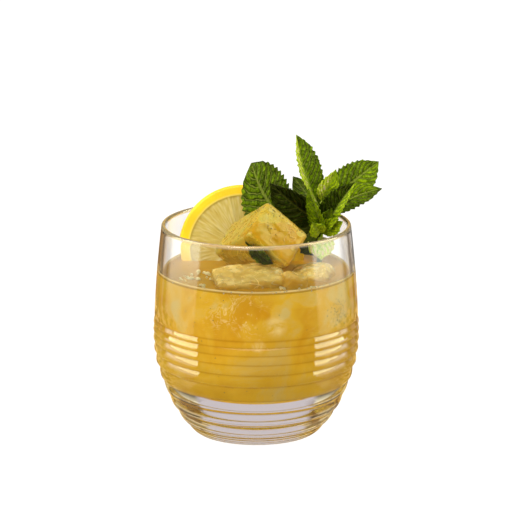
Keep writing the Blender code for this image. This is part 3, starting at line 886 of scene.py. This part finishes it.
def blockMesh(name, spec, count):  # a rounded block, its corners eased by melting
    half = [side * mm / 2 for side in spec["size"]]
    melt = spec["melt"] * mm
    turn = turnOf(spec)
    place = Matrix.Translation(Vector(spec["centre"]) * mm) @ turn.to_4x4()
    seed = Vector((spec["seed"], 0.0, 0.0))
    points, faces, found, frost = [], [], {}, []

    def ridgeFrost(at, patchy):  # the frosted band along the top of the tallest block
        peakX, peakUp = ice["peak"]
        rise = studio["cameraRise"]
        up = ((at.z - studio["cameraAim"]) * cos(rise) + at.y * sin(rise)) / mm
        cover = (up - ice["ridgeLow"]) / 1.2 + patchy
        for inX, inUp, width in ice["slopes"]:
            cover = max(cover, (width - (at.x / mm - peakX) * inX - (up - peakUp) * inUp) / 1.2 + patchy)
        return clamp(cover)

    def corner(position):
        key = tuple(round(value, 7) for value in position)
        if key not in found:
            here = Vector(position)
            core = Vector([clamp(value, melt - reach, reach - melt) for value, reach in zip(position, half)])
            out = (here - core).normalized()
            lump = noise.noise(here / (9 * mm) + seed) * spec["lumps"]
            lump += noise.fractal(here / (2.6 * mm) + seed, 0.8, 2.0, 4) * ice["pits"]
            if "frostFrom" not in spec:
                crease = 0.35 - abs(noise.noise(here / (5.5 * mm) + seed * 2))
                lump += ice["chips"] * (crease + 0.4 * noise.noise(here / (2.4 * mm) - seed))
            found[key] = len(points)
            points.append(place @ (core + out * (melt + mm * lump)))
            edge = min(1.0, 4.0 * (1 - max(abs(value) for value in out)))
            patchy = noise.noise(here / (4 * mm) - seed)
            cover = clamp(((turn @ out).z - 0.35) * 2.5) * 0.6
            if "frostFrom" in spec:
                cover = ridgeFrost(points[-1], patchy)
                cover = max(cover, 0.7 * clamp(spec["frostFrom"] - here.x / mm))
            frost.append(min(1.0, cover * (0.75 + 0.5 * patchy) + 0.35 * edge * (0.5 + patchy)))
        return found[key]

    for axis, side, i, j in product(range(3), (-1, 1), range(count), range(count)):
        first, second = (axis + 1) % 3, (axis + 2) % 3
        ring = [(i, j), (i + 1, j), (i + 1, j + 1), (i, j + 1)]
        face = []
        for a, b in ring[::side]:
            position = [0.0, 0.0, 0.0]
            position[axis] = side * half[axis]
            position[first] = half[first] * sin(pi * (a / count - 0.5))
            position[second] = half[second] * sin(pi * (b / count - 0.5))
            face.append(corner(position))
        faces.append(face)
    mesh = meshOf(name, points, faces)
    paint(mesh, "frost", frost)
    return mesh


def iceFinish(name):
    clear, ior, highlighted, tones = ice["finishes"][name].values()
    coat = {"Coat Weight": 0.2, "Coat Roughness": 0.06, "Coat IOR": 1.4}
    gloss = {"IOR": ior, "Specular IOR Level": 0.22, "Specular Tint": ice["specularTint"]}
    material, shader, place = newMaterial(name, gloss | coat)
    amber, middle, light, frosty = tones
    cloud = noiseField(place, 95.0, 5.0, 0.6, 0.5)
    body = ramp(cloud, [(0.40, amber), (0.56, middle), (0.74, light)])
    grain = noiseField(place, 1300.0, 2.0, 0.7)
    patchy = remap(noiseField(place, 320.0, 3.0, 0.6), 0.36, 0.62, 0.45, 1.0)
    frost = times(painted(shader, "frost"), patchy)
    crack = remap(cells(place, 150.0, "DISTANCE_TO_EDGE"), 0.0, 0.04, 0.5, 0.0)
    veil = remap(noiseField(place, 110.0, 3.0), 0.52, 0.66)
    frost = smaller(plus(frost, times(veil, crack)), 1.0)
    skinned = mix(frost, body, mix(remap(grain, 0.35, 0.65), light, frosty))
    # painted highlights: fine pale wavy lines along ripples in the ice
    level = noiseField(vectorCalc("MULTIPLY", place, (0.6, 1.0, 1.5)), 85.0, 2.0, 0.5, 1.5)
    rippleHighlights = eased(absolute(minus(level, 0.5)), 0.002, 0.024, 1.0, 0.0)
    rippleHighlights = times(rippleHighlights, remap(noiseField(place, 140.0), 0.38, 0.50))
    link(mix(times(rippleHighlights, highlighted), skinned, ice["line"]), shader, "Base Color")
    link(remap(frost, 0.0, 1.0, clear, clear * 0.3), shader, "Transmission Weight")
    link(remap(frost, 0.0, 1.0, 0.10, 0.5), shader, "Roughness")
    rough = times(grain, plus(frost, 0.15))
    wavy = noiseField(place, 260.0, 3.0, 0.6)
    addBump(shader, plus(rough, wavy, rippleHighlights), 0.4, 0.3 * mm)
    absorbLight(shader, ice)
    return material


def crumbFinish():
    material, shader, place = newMaterial("frosty crumbs", {"IOR": 1.31, "Transmission Weight": 0.25})
    shade = noiseField(place, 900.0)
    link(mix(shade, *ice["crumbTones"]), shader, "Base Color")
    link(remap(shade, 0.3, 0.7, 0.25, 0.5), shader, "Roughness")
    return material


cloudy, wet, drowned = [iceFinish(name) for name in ice["finishes"]]
for name, spec in ice["blocks"].items():
    finish = cloudy if "frostFrom" in spec else wet
    block = addObject(name + "_wet", blockMesh(name, spec, ice["cells"]), finish)
    keepPiece(block, "ice", name)

sunken = bmesh.new()
for spec in ice["sunken"].values():
    sunken.from_mesh(blockMesh("sunken", spec, ice["sunkenCells"]))
sunkMesh = bpy.data.meshes.new("sunken_ice")
sunken.to_mesh(sunkMesh)
sunken.free()
sunkMesh.shade_smooth()
keepPiece(addObject("sunken_ice", sunkMesh, drowned), "ice")


# Lemon: rind, pith, membranes and pulp on both cut faces

lemon = {
    "radius": 28.5 * mm,
    "thickness": 4.5 * mm,
    "centre": Vector((-6.4, 18.5, 78.9)) * mm,
    "edge": 1.1 * mm,
    "pith": 4.6 * mm,
    "dip": 0.45 * mm,
    "segments": 10,
    "core": 1.8 * mm,
    "turn": 0.13,
    "steps": 300,
    "rings": 58,
    "rind": srgb(248, 208, 4),
    "rindDeep": srgb(242, 192, 2),
    "pithColour": srgb(226, 204, 96),
    "flesh": srgb(190, 168, 84),
    "fleshDeep": srgb(180, 154, 66),
    "vein": srgb(206, 188, 120),
}


def lemonMesh():
    radius, flesh = lemon["radius"], lemon["radius"] - lemon["pith"]
    half = lemon["thickness"] / 2
    steps, rings = lemon["steps"], lemon["rings"]
    place = Matrix.Translation(lemon["centre"]) @ towardCamera().to_track_quat("Z", "Y").to_matrix().to_4x4()
    points, faces = [], []
    rind, walls, pulp = [], [], []

    def addPoint(side, ring, step):
        angle = tau * step / steps
        wobble = noise.noise(around(angle) + Vector((0.0, 0.0, 3.0 + side))) * 0.35
        sector = (angle / tau * lemon["segments"] + lemon["turn"] + wobble * 0.35) % 1.0
        out = radius * (ring / rings) ** 0.9
        fromWall = min(sector, 1 - sector) * tau / lemon["segments"] * out
        wall = exp(-((fromWall / (0.45 * mm)) ** 2))
        inFlesh = clamp((flesh - out) / (0.8 * mm)) * clamp((out - lemon["core"]) / (0.8 * mm))
        way = around(angle)
        sac = noise.noise(Vector((way.x * 34, way.y * 34, out / (5 * mm) + 9 * side)))
        sac += 0.5 * noise.noise(Vector((way.x * 80, way.y * 80, out / (2.4 * mm) + 5 * side)))
        height = half - inFlesh * (1 - wall) * (lemon["dip"] - 0.16 * mm * sac)
        fall = max(0.0, out - (radius - lemon["edge"])) / lemon["edge"]
        height -= lemon["edge"] * (1 - sqrt(max(0.0, 1 - fall * fall)))
        points.append(place @ Vector((way.x * out, way.y * out, side * height)))
        rind.append(clamp((out - flesh + 0.3 * mm) / (1.2 * mm)))
        walls.append(max(wall * inFlesh, 1 - min(1.0, out / lemon["core"])))
        pulp.append(inFlesh * (0.5 + 0.5 * sac))

    for side in (-1, 1):
        addPoint(side, 0.0, 0)
        for ring, step in product(range(1, rings + 1), range(steps)):
            addPoint(side, ring, step)
    stride = 1 + rings * steps
    for step in range(steps):
        after = (step + 1) % steps
        for base in (0, stride):
            faces.append((base, base + 1 + step, base + 1 + after))
            for ring in range(rings - 1):
                low = base + 1 + ring * steps
                faces.append((low + step, low + steps + step, low + steps + after, low + after))
        last = 1 + (rings - 1) * steps
        faces.append((last + step, stride + last + step, stride + last + after, last + after))
    mesh = meshOf("lemon", points, faces)
    paint(mesh, "rind", rind)
    paint(mesh, "walls", walls)
    paint(mesh, "pulp", pulp)
    faceOutwards(mesh)
    return mesh


def lemonFinish():
    soft = {"Subsurface Weight": 0.25, "Subsurface Scale": 0.003, "Subsurface Radius": (1.0, 0.7, 0.2)}
    material, shader, place = newMaterial("fresh lemon", soft | {"Specular IOR Level": 0.3})
    wash = noiseField(place, 90.0, 4.0)
    sacs = plus(times(painted(shader, "pulp"), 0.7), times(wash, 0.3))
    pulp = ramp(sacs, [(0.25, lemon["fleshDeep"]), (0.5, lemon["flesh"]), (0.8, lemon["vein"])])
    veined = mix(times(painted(shader, "walls"), 0.6), pulp, lemon["vein"])
    skin = mix(remap(wash, 0.35, 0.65), lemon["rindDeep"], lemon["rind"])
    rind = painted(shader, "rind")
    ringed = mix(remap(rind, 0.0, 0.35), veined, lemon["pithColour"])
    link(mix(remap(rind, 0.3, 1.0), ringed, skin), shader, "Base Color")
    link(remap(rind, 0.0, 1.0, 0.22, 0.38), shader, "Roughness")
    pores = times(remap(cells(place, 900.0), 0.0, 0.5), rind)
    addBump(shader, plus(pores, times(noiseField(place, 600.0, 2.0), 0.3)), 0.3, 0.2 * mm)
    return material


wheel = addObject("lemon_wheel", lemonMesh(), lemonFinish())
keepPiece(wheel, "lemon", "lemon_slice")


# Mint: the sprig and a loose leaf, each blade toothed, veined and puckered

mint = {
    "stemFoot": Vector((28.0, 10.0, 58.0)) * mm,
    "stemTop": Vector((29.4, 9.0, 102.5)) * mm,
    "stemRadius": 1.25 * mm,
    "stemTipRadius": 0.8 * mm,
    "stemBow": 0.6 * mm,
    "thickness": 0.34 * mm,
    "stalk": 0.10,
    "stalkShare": 0.07,
    "fullness": 0.68,
    "toothGap": 2.3 * mm,
    "toothDepth": 0.16,
    "veinGap": 3.0 * mm,
    "veinSlant": 3.0,  # how many vein gaps a side vein climbs on its way out
    "pucker": 0.72 * mm,
    "tipFrom": 0.80,  # where the blade's point begins
    # the greens that the painted light and shade runs along, from the darkest to lime
    "stops": [
        (0.0, srgb(14, 22, 1)), (0.22, srgb(40, 56, 1)), (0.43, srgb(88, 112, 2)),
        (0.64, srgb(134, 158, 4)), (0.84, srgb(190, 206, 40)), (1.0, srgb(200, 184, 132)),
    ],
    "vein": srgb(172, 184, 74),
    "specularTint": (0.95, 1.0, 0.22, 1.0),
}

leafColumns = "at heading rise length width roll fold arch sway belly left right"

# At, heading, rise, length, width, roll, fold, arch, sway and belly are the imported solid's own.
# Left and right are the two halves' painted light and shade, which half is lit and which in shadow, together
# with the leaf's own green, from 0 for the darkest to 1 for lime.
leaves = named(leafColumns, {
    "far_left": (0.66, 163, 43.5, 45, 24.5, 0, 6, 2.0, 6.8, 0.62, 0.36, 0.31),
    "dark_left": (0.78, -167, 40, 31, 18, -28, 24, 1.5, 0.0, 0.4, 0.07, 0.0),
    "low_left": (0.8, -168, -40, 15, 10, 10, 14, 1.0, 0.5, 0.4, 0.17, 0.13),
    "tall": (0.91, 152, 69, 36, 15.5, 30, 30, 1.0, 2.8, 0.5, 0.85, 0.36),
    "bright": (0.99, -45, 63, 19, 9.5, 10, 16, 0.8, 0.4, 0.4, 0.85, 0.66),
    "far_right": (0.94, 22, 34.5, 33.5, 18.5, 14, 14, 1.5, 0.8, 0.42, 0.41, 0.51),
    "low_right": (0.8, 2, 29, 31, 11, -16, 16, 1.0, 2.5, 0.5, 0.51, 0.34),
    "folded_right": (0.66, -45, 53, 35, 14, -34, 30, 1.0, 0.0, 0.4, 0.17, 0.66),
    "upright": (0.64, -114, 61, 29, 9, -38, 24, 1.0, -2.2, 0.4, 0.51, 0.55),
    "small_back": (0.7, -69, 46, 19, 7.5, 0, 12, 0.6, 0.4, 0.4, 0.42, 0.42),
    "round_front": (0.68, -104, 28, 19, 8, -10, 10, 1.6, 0.0, 0.6, 0.72, 0.68),
    "low_front": (0.66, -52, 31, 18, 8.5, 0, 12, 1.0, 0.8, 0.6, 0.72, 0.68),
    "hanging": (0.66, -88, -50, 12.5, 12.5, 0, 6, 1.2, 0.0, 0.45, 0.98, 0.94),
    "low_dark": (0.54, -151, -10, 10.5, 8, 20, 10, 0.6, 0.0, 0.4, 0.17, 0.13),
    "back_left": (0.84, 130, 38, 25, 14, 180, 12, 1.2, 0.6, 0.4, 0.34, 0.34),
    "back_right": (0.8, 75, 34, 25, 13, 180, 12, 1.2, -0.6, 0.4, 0.38, 0.38),
})
leaves["far_left"]["tipFrom"] = 0.93
leaves["tall"]["leftShare"] = 0.72  # its left half is folded away

# The loose leaf lies under the tall block: its start on the block's face and its gap from it are in mm.
# its low left and right are painted shade, for it lies under the block
looseLeaf = dict(length=16.0, width=10.5, fold=6, arch=0.5, sway=0.0, belly=0.55, left=0.28, right=0.2)
looseStart = (9.6, 11.6)
looseGap = 0.75


def stemPoint(part):
    bow = Vector((0.0, -1.0, 0.0)) * mint["stemBow"] * sin(pi * part)
    return mint["stemFoot"].lerp(mint["stemTop"], part) + bow


def bladeShare(part, belly, point):
    blade = max(0.0, (part - mint["stalk"]) / (1 - mint["stalk"]))
    curve = log(0.5) / log(belly)
    lobe = max(0.0, sin(pi * min(blade, point) ** curve)) ** mint["fullness"]
    if blade > point:
        lobe *= ((1 - blade) / (1 - point)) ** 0.95
    return max(mint["stalkShare"] * (1 - part), lobe)


def newGrowth():
    return {"points": [], "faces": [], "toneAndShade": [], "blade": [], "place": []}


def growPoint(growth, point, toneAndShade, blade, place):  # blade is its spot among the veins, place in the netting
    growth["points"].append(point)
    growth["toneAndShade"].append(toneAndShade)
    growth["blade"] += blade
    growth["place"] += place


def addLeaf(growth, spec, start, along, face, seed):
    along = along.normalized()
    face = (face - face.dot(along) * along).normalized()
    side = face.cross(along)
    length, width = spec["length"] * mm, spec["width"] * mm
    fold, arch, sway = radians(spec["fold"]), spec["arch"] * mm, spec["sway"] * mm
    rows = max(36, min(110, round(length / (0.36 * mm))))
    columns = 2 * max(8, min(16, round(width / (1.1 * mm))))
    teeth = max(5, round(length / mint["toothGap"]))
    veins = max(4, round(length / mint["veinGap"]))
    first = len(growth["points"])
    shift = Vector((seed * 7.3, 0.0, 0.0))
    for lift, row in product((-0.5, 0.5), range(rows + 1)):
        part = row / rows
        bow = sin(pi * part)
        middle = start + along * length * part + face * arch * bow + side * sway * bow
        share = bladeShare(part, spec["belly"], spec.get("tipFrom", mint["tipFrom"]))
        half = max(width / 2 * share, 0.12 * mm)
        ripple = 0.035 * width * sin(3.5 * tau * part)
        bladed = clamp((part - mint["stalk"]) * 8) * min(1.0, (1 - part) * 12)
        for column in range(columns + 1):
            across = 2 * column / columns - 1
            reach, left = abs(across), across > 0
            phase = (part * teeth + 0.37 * left) % 1.0
            tooth = phase if phase < 0.8 else (1 - phase) * 4
            out = half * (1 + mint["toothDepth"] * bladed * (tooth - 0.4) * reach**5)
            if left:
                out *= spec.get("leftShare", 1.0)
            flat = Vector((across * half, part * length, 0.0))
            vein = part * veins - mint["veinSlant"] * reach * (0.75 + 0.25 * reach) + 0.5 * left
            vein += 0.55 * noise.noise(Vector((part * length / (6 * mm), 5.0 * left, seed * 3.1)))
            vein += 0.14 * noise.noise(flat / (1.6 * mm) + shift)
            rib = abs((vein + 0.5) % 1.0 - 0.5)
            pillow = (1 - exp(-((rib / 0.15) ** 2))) * (1 - exp(-((reach * half / (0.8 * mm)) ** 2)))
            here = flat / mm
            crumple = noise.noise(here * 0.55 + shift) + 0.6 * noise.noise(here * 1.2 + shift)
            raised = mint["pucker"] * bladed * (pillow + 0.45 * crumple * pillow) - 0.12 * mm * bladed
            wave = 0.5 * mm * noise.noise(here * 0.09 + shift) * reach * reach * bladed
            rise = reach * half * sin(fold) + ripple * across * across * (1 - part) + raised + wave
            point = middle + side * across * out * cos(fold) + face * (rise + lift * mint["thickness"])
            # painted light and shade: each half takes its lit or shaded value, raised pillows lighter, the
            # underside darker
            shade = spec["right"] + (spec["left"] - spec["right"]) * (0.5 + 0.5 * tanh(across * 9))
            shade += 0.10 * (pillow - 0.5) - (0.05 if lift < 0 else 0.0)
            netting = (across * half / mm, part * length / mm, seed * 40.0)
            growPoint(growth, point, shade, (across, vein, 0.0), netting)
    stride = columns + 1
    under = (rows + 1) * stride
    faces = growth["faces"]
    for row, column in product(range(rows), range(columns)):
        a = first + row * stride + column
        b, c, d = a + 1, a + 1 + stride, a + stride
        faces.append((a, d, c, b))
        faces.append((under + a, under + b, under + c, under + d))
    edge = [first + column for column in range(columns)]
    edge += [first + row * stride + columns for row in range(rows)]
    edge += [first + rows * stride + column for column in range(columns, 0, -1)]
    edge += [first + row * stride for row in range(rows, 0, -1)]
    for here, there in zip(edge, edge[1:] + edge[:1]):
        faces.append((here, there, under + there, under + here))


def addStem(growth):
    rows, steps = 40, 20
    first = len(growth["points"])
    for row in range(rows + 1):
        part = row / rows
        radius = mint["stemRadius"] + (mint["stemTipRadius"] - mint["stemRadius"]) * part
        for step in range(steps):
            angle = tau * step / steps
            square = 1 + 0.10 * cos(4 * angle)  # mint stems are nearly square
            out = around(angle) * radius * square
            netting = (step / steps * 8.0, part * 45.0, 0.0)
            growPoint(growth, stemPoint(part) + out, part, (0.0, part, 0.0), netting)
    for end, lift in ((0.0, 0.0), (1.0, mint["stemTipRadius"])):
        point = stemPoint(end) + Vector((0.0, 0.0, lift))
        growPoint(growth, point, end, (0.0, end, 0.0), (0.0, end * 45.0, 0.0))
    foot = first + (rows + 1) * steps
    for step in range(steps):
        after = (step + 1) % steps
        for row in range(rows):
            low = first + row * steps
            growth["faces"].append((low + step, low + after, low + steps + after, low + steps + step))
        top = first + rows * steps
        growth["faces"].append((foot, first + after, first + step))
        growth["faces"].append((foot + 1, top + step, top + after))


def growthMesh(name, growth):
    mesh = meshOf(name, growth["points"], growth["faces"])
    paint(mesh, "toneAndShade", growth["toneAndShade"])
    for key in ("place", "blade"):
        mesh.attributes.new(key, "FLOAT_VECTOR", "POINT").data.foreach_set("vector", growth[key])
    return mesh


def leafFinish():
    soft = {"Subsurface Weight": 0.08, "Subsurface Scale": 0.001, "Subsurface Radius": (0.7, 1.0, 0.2)}
    gloss = {"Specular IOR Level": 0.16, "Specular Tint": mint["specularTint"]}
    material, shader, _ = newMaterial("mint leaf", soft | gloss)
    across, along, _ = splitPlace(painted(shader, "blade", "Vector"))
    reach = absolute(across)
    rib = absolute(minus(calc("FRACT", plus(along, 100.5)), 0.5))
    sideVein = eased(rib, 0.04, 0.11, 1.0, 0.0)
    crease = eased(rib, 0.08, 0.30, 1.0, 0.0)
    fade = remap(reach, 0.6, 1.0, 1.0, 0.5)
    midrib = eased(reach, 0.02, 0.075, 1.0, 0.0)
    place = painted(shader, "place", "Vector")
    netting = cells(place, 0.62, "DISTANCE_TO_EDGE")
    # painted shade in the grooves of the netting
    netShade = fading(netting, 0.0, 0.22)
    quilt = fieldNode("TexVoronoi", {"Vector": place, "Scale": 0.62}).outputs["Color"]
    quilt = remap(splitPlace(quilt)[0], 0.0, 1.0, -0.06, 0.08)
    veins = larger(midrib, times(sideVein, fade))
    wash = noiseField(place, 0.35, 4.0, 0.6)
    toneAndShade = plus(painted(shader, "toneAndShade"), remap(wash, 0.3, 0.7, -0.12, 0.12), quilt)
    # painted shade: darker along the netting and in the creases between side veins
    toneAndShade = minus(minus(toneAndShade, times(netShade, 0.10)), times(crease, 0.16))
    green = ramp(toneAndShade, mint["stops"])
    pale = mix(0.5, green, mint["vein"])
    showing = remap(painted(shader, "toneAndShade"), 0.08, 0.43, 0.2, 0.8)
    link(mix(times(veins, showing), green, pale), shader, "Base Color")
    link(remap(wash, 0.3, 0.7, 0.36, 0.52), shader, "Roughness")
    height = minus(remap(netting, 0.0, 0.4), times(veins, 0.9))
    addBump(shader, height, 0.45, 0.40 * mm)
    return material


def towards(heading, rise):
    flat = cos(radians(rise))
    heading = radians(heading)
    return Vector((flat * cos(heading), flat * sin(heading), sin(radians(rise))))


def makeMint():
    front = towardCamera()
    green = leafFinish()
    growth = newGrowth()
    for index, spec in enumerate(leaves.values()):
        along = towards(spec["heading"], spec["rise"])
        face = (front - front.dot(along) * along).normalized()
        face = Matrix.Rotation(radians(spec["roll"]), 3, along) @ face
        addLeaf(growth, spec, stemPoint(spec["at"]), along, face, index + 1)
    addStem(growth)
    sprig = addObject("mint_sprig_fresh", growthMesh("mint_sprig", growth), green)
    keepPiece(sprig, "mint", "mint_sprig")

    spec = ice["blocks"]["ice_cube_top"]
    turn = turnOf(spec)
    under = -(spec["size"][0] / 2 + looseGap)
    start = turn @ (Vector((under, *looseStart)) * mm) + Vector(spec["centre"]) * mm
    loose = newGrowth()
    addLeaf(loose, looseLeaf, start, turn @ Vector((0.0, -1.0, 0.0)), turn @ Vector((-1.0, 0.0, 0.0)), 31)
    leaf = addObject("mint_leaf_wet", growthMesh("mint_leaf", loose), green)
    keepPiece(leaf, "loose_mint", "mint_leaf_loose")


makeMint()


# Bits: specks of herb in the drink and on the ice, bubbles at the wall, crumbs of ice

bits = named("Density Smallest Largest Flatness Seed Roundness", {  # as the scatter's inputs are named
    "specks": (2.6e6, 0.08 * mm, 0.30 * mm, 0.5, 4, 1),
    "iceSpecks": (2.2e6, 0.10 * mm, 0.42 * mm, 0.4, 7, 1),
    "bubbles": (900000.0, 0.12 * mm, 0.40 * mm, 1.0, 12, 2),
    "crumbs": (220000.0, 0.4 * mm, 1.3 * mm, 0.7, 21, 2),
})

# Where the bits gather, each a centre and a radius in mm
gathered = {
    "specks": ((35.5, -24.0, 60.5), 4.5),
    "fewSpecks": ((-30.0, -29.0, 55.0), 6.0),
    "iceSpecks": ((9.0, -9.0, 99.0), 8.0),
    "fewIceSpecks": ((16.0, -9.0, 93.0), 6.0),
    "bubbles": [((10.0, -40.5, 74.0), 7.0), ((26.0, -32.0, 74.0), 8.0)],
    "crumbs": [
        ((-31.0, -16.0, 73.5), 4.0), ((-22.0, -9.0, 73.5), 3.5), ((-24.0, -27.0, 73.5), 2.5),
        ((24.0, -30.0, 73.5), 4.0), ((13.0, -15.0, 73.5), 4.0), ((-19.0, -16.0, 73.5), 3.0),
        ((-16.0, -7.0, 73.5), 3.0), ((-6.0, -8.0, 73.5), 3.0), ((12.0, -33.0, 73.5), 2.5),
    ],
}
herbStops = [(0.35, srgb(48, 42, 8)), (0.65, srgb(116, 96, 26))]
bubbleTones = [srgb(246, 226, 176), srgb(255, 246, 220)]


def herbFinish():
    material, shader, place = newMaterial("herb specks", {})
    shade = noiseField(place, 700.0)
    link(ramp(shade, herbStops), shader, "Base Color")
    return material


def bubbleFinish():
    material, shader, place = newMaterial("bubbles", {"Transmission Weight": 0.6, "IOR": 1.2})
    shade = noiseField(place, 500.0)
    link(mix(shade, *bubbleTones), shader, "Base Color")
    link(remap(shade, 0.3, 0.7, 0.05, 0.2), shader, "Roughness")
    return material


def near(point, centre, size):
    return exp(-(((point - Vector(centre) * mm).length / (size * mm)) ** 2))


def speckPatch(point):
    radius = hypot(point.x, point.y)
    onWall = 1.0 if 24 * mm < point.z < drink["level"] and radius > 20 * mm else 0.0
    cluster = near(point, *gathered["specks"]) + 0.04 * near(point, *gathered["fewSpecks"])
    return onWall * min(1.0, 0.004 + cluster)


def iceSpeckPatch(point):
    if point.z < drink["level"] + 4 * mm:
        return 0.0
    streak = max(0.0, noise.noise(point * 210.0) - 0.08) * 2.5
    cluster = 0.6 * near(point, *gathered["iceSpecks"]) + 0.4 * near(point, *gathered["fewIceSpecks"])
    return min(1.0, streak * (0.12 + cluster))


def bubblePatch(point):
    ring = exp(-(((point.z - drink["level"] - 0.7 * mm) / (0.5 * mm)) ** 2))
    radius = hypot(point.x, point.y)
    bunch = 0.12 + sum(near(point, *spot) for spot in gathered["bubbles"])
    return ring * min(1.0, bunch) * (radius > 38 * mm)


def crumbPatch(point):
    if abs(point.z - drink["level"]) > 0.6 * mm:
        return 0.0
    return min(1.0, sum(near(point, *spot) for spot in gathered["crumbs"]))


herbs = herbFinish()
topBlock = bpy.data.objects["ice_cube_top_wet"].data
keepPiece(scatteredPiece("drink_specks", pour.data, speckPatch, herbs, bits["specks"]), "mint")
keepPiece(scatteredPiece("ice_specks", topBlock, iceSpeckPatch, herbs, bits["iceSpecks"]), "mint")
keepPiece(scatteredPiece("rim_bubbles", pour.data, bubblePatch, bubbleFinish(), bits["bubbles"]), "drink")
keepPiece(scatteredPiece("ice_crumbs", pour.data, crumbPatch, crumbFinish(), bits["crumbs"]), "ice")
print("bits scattered")
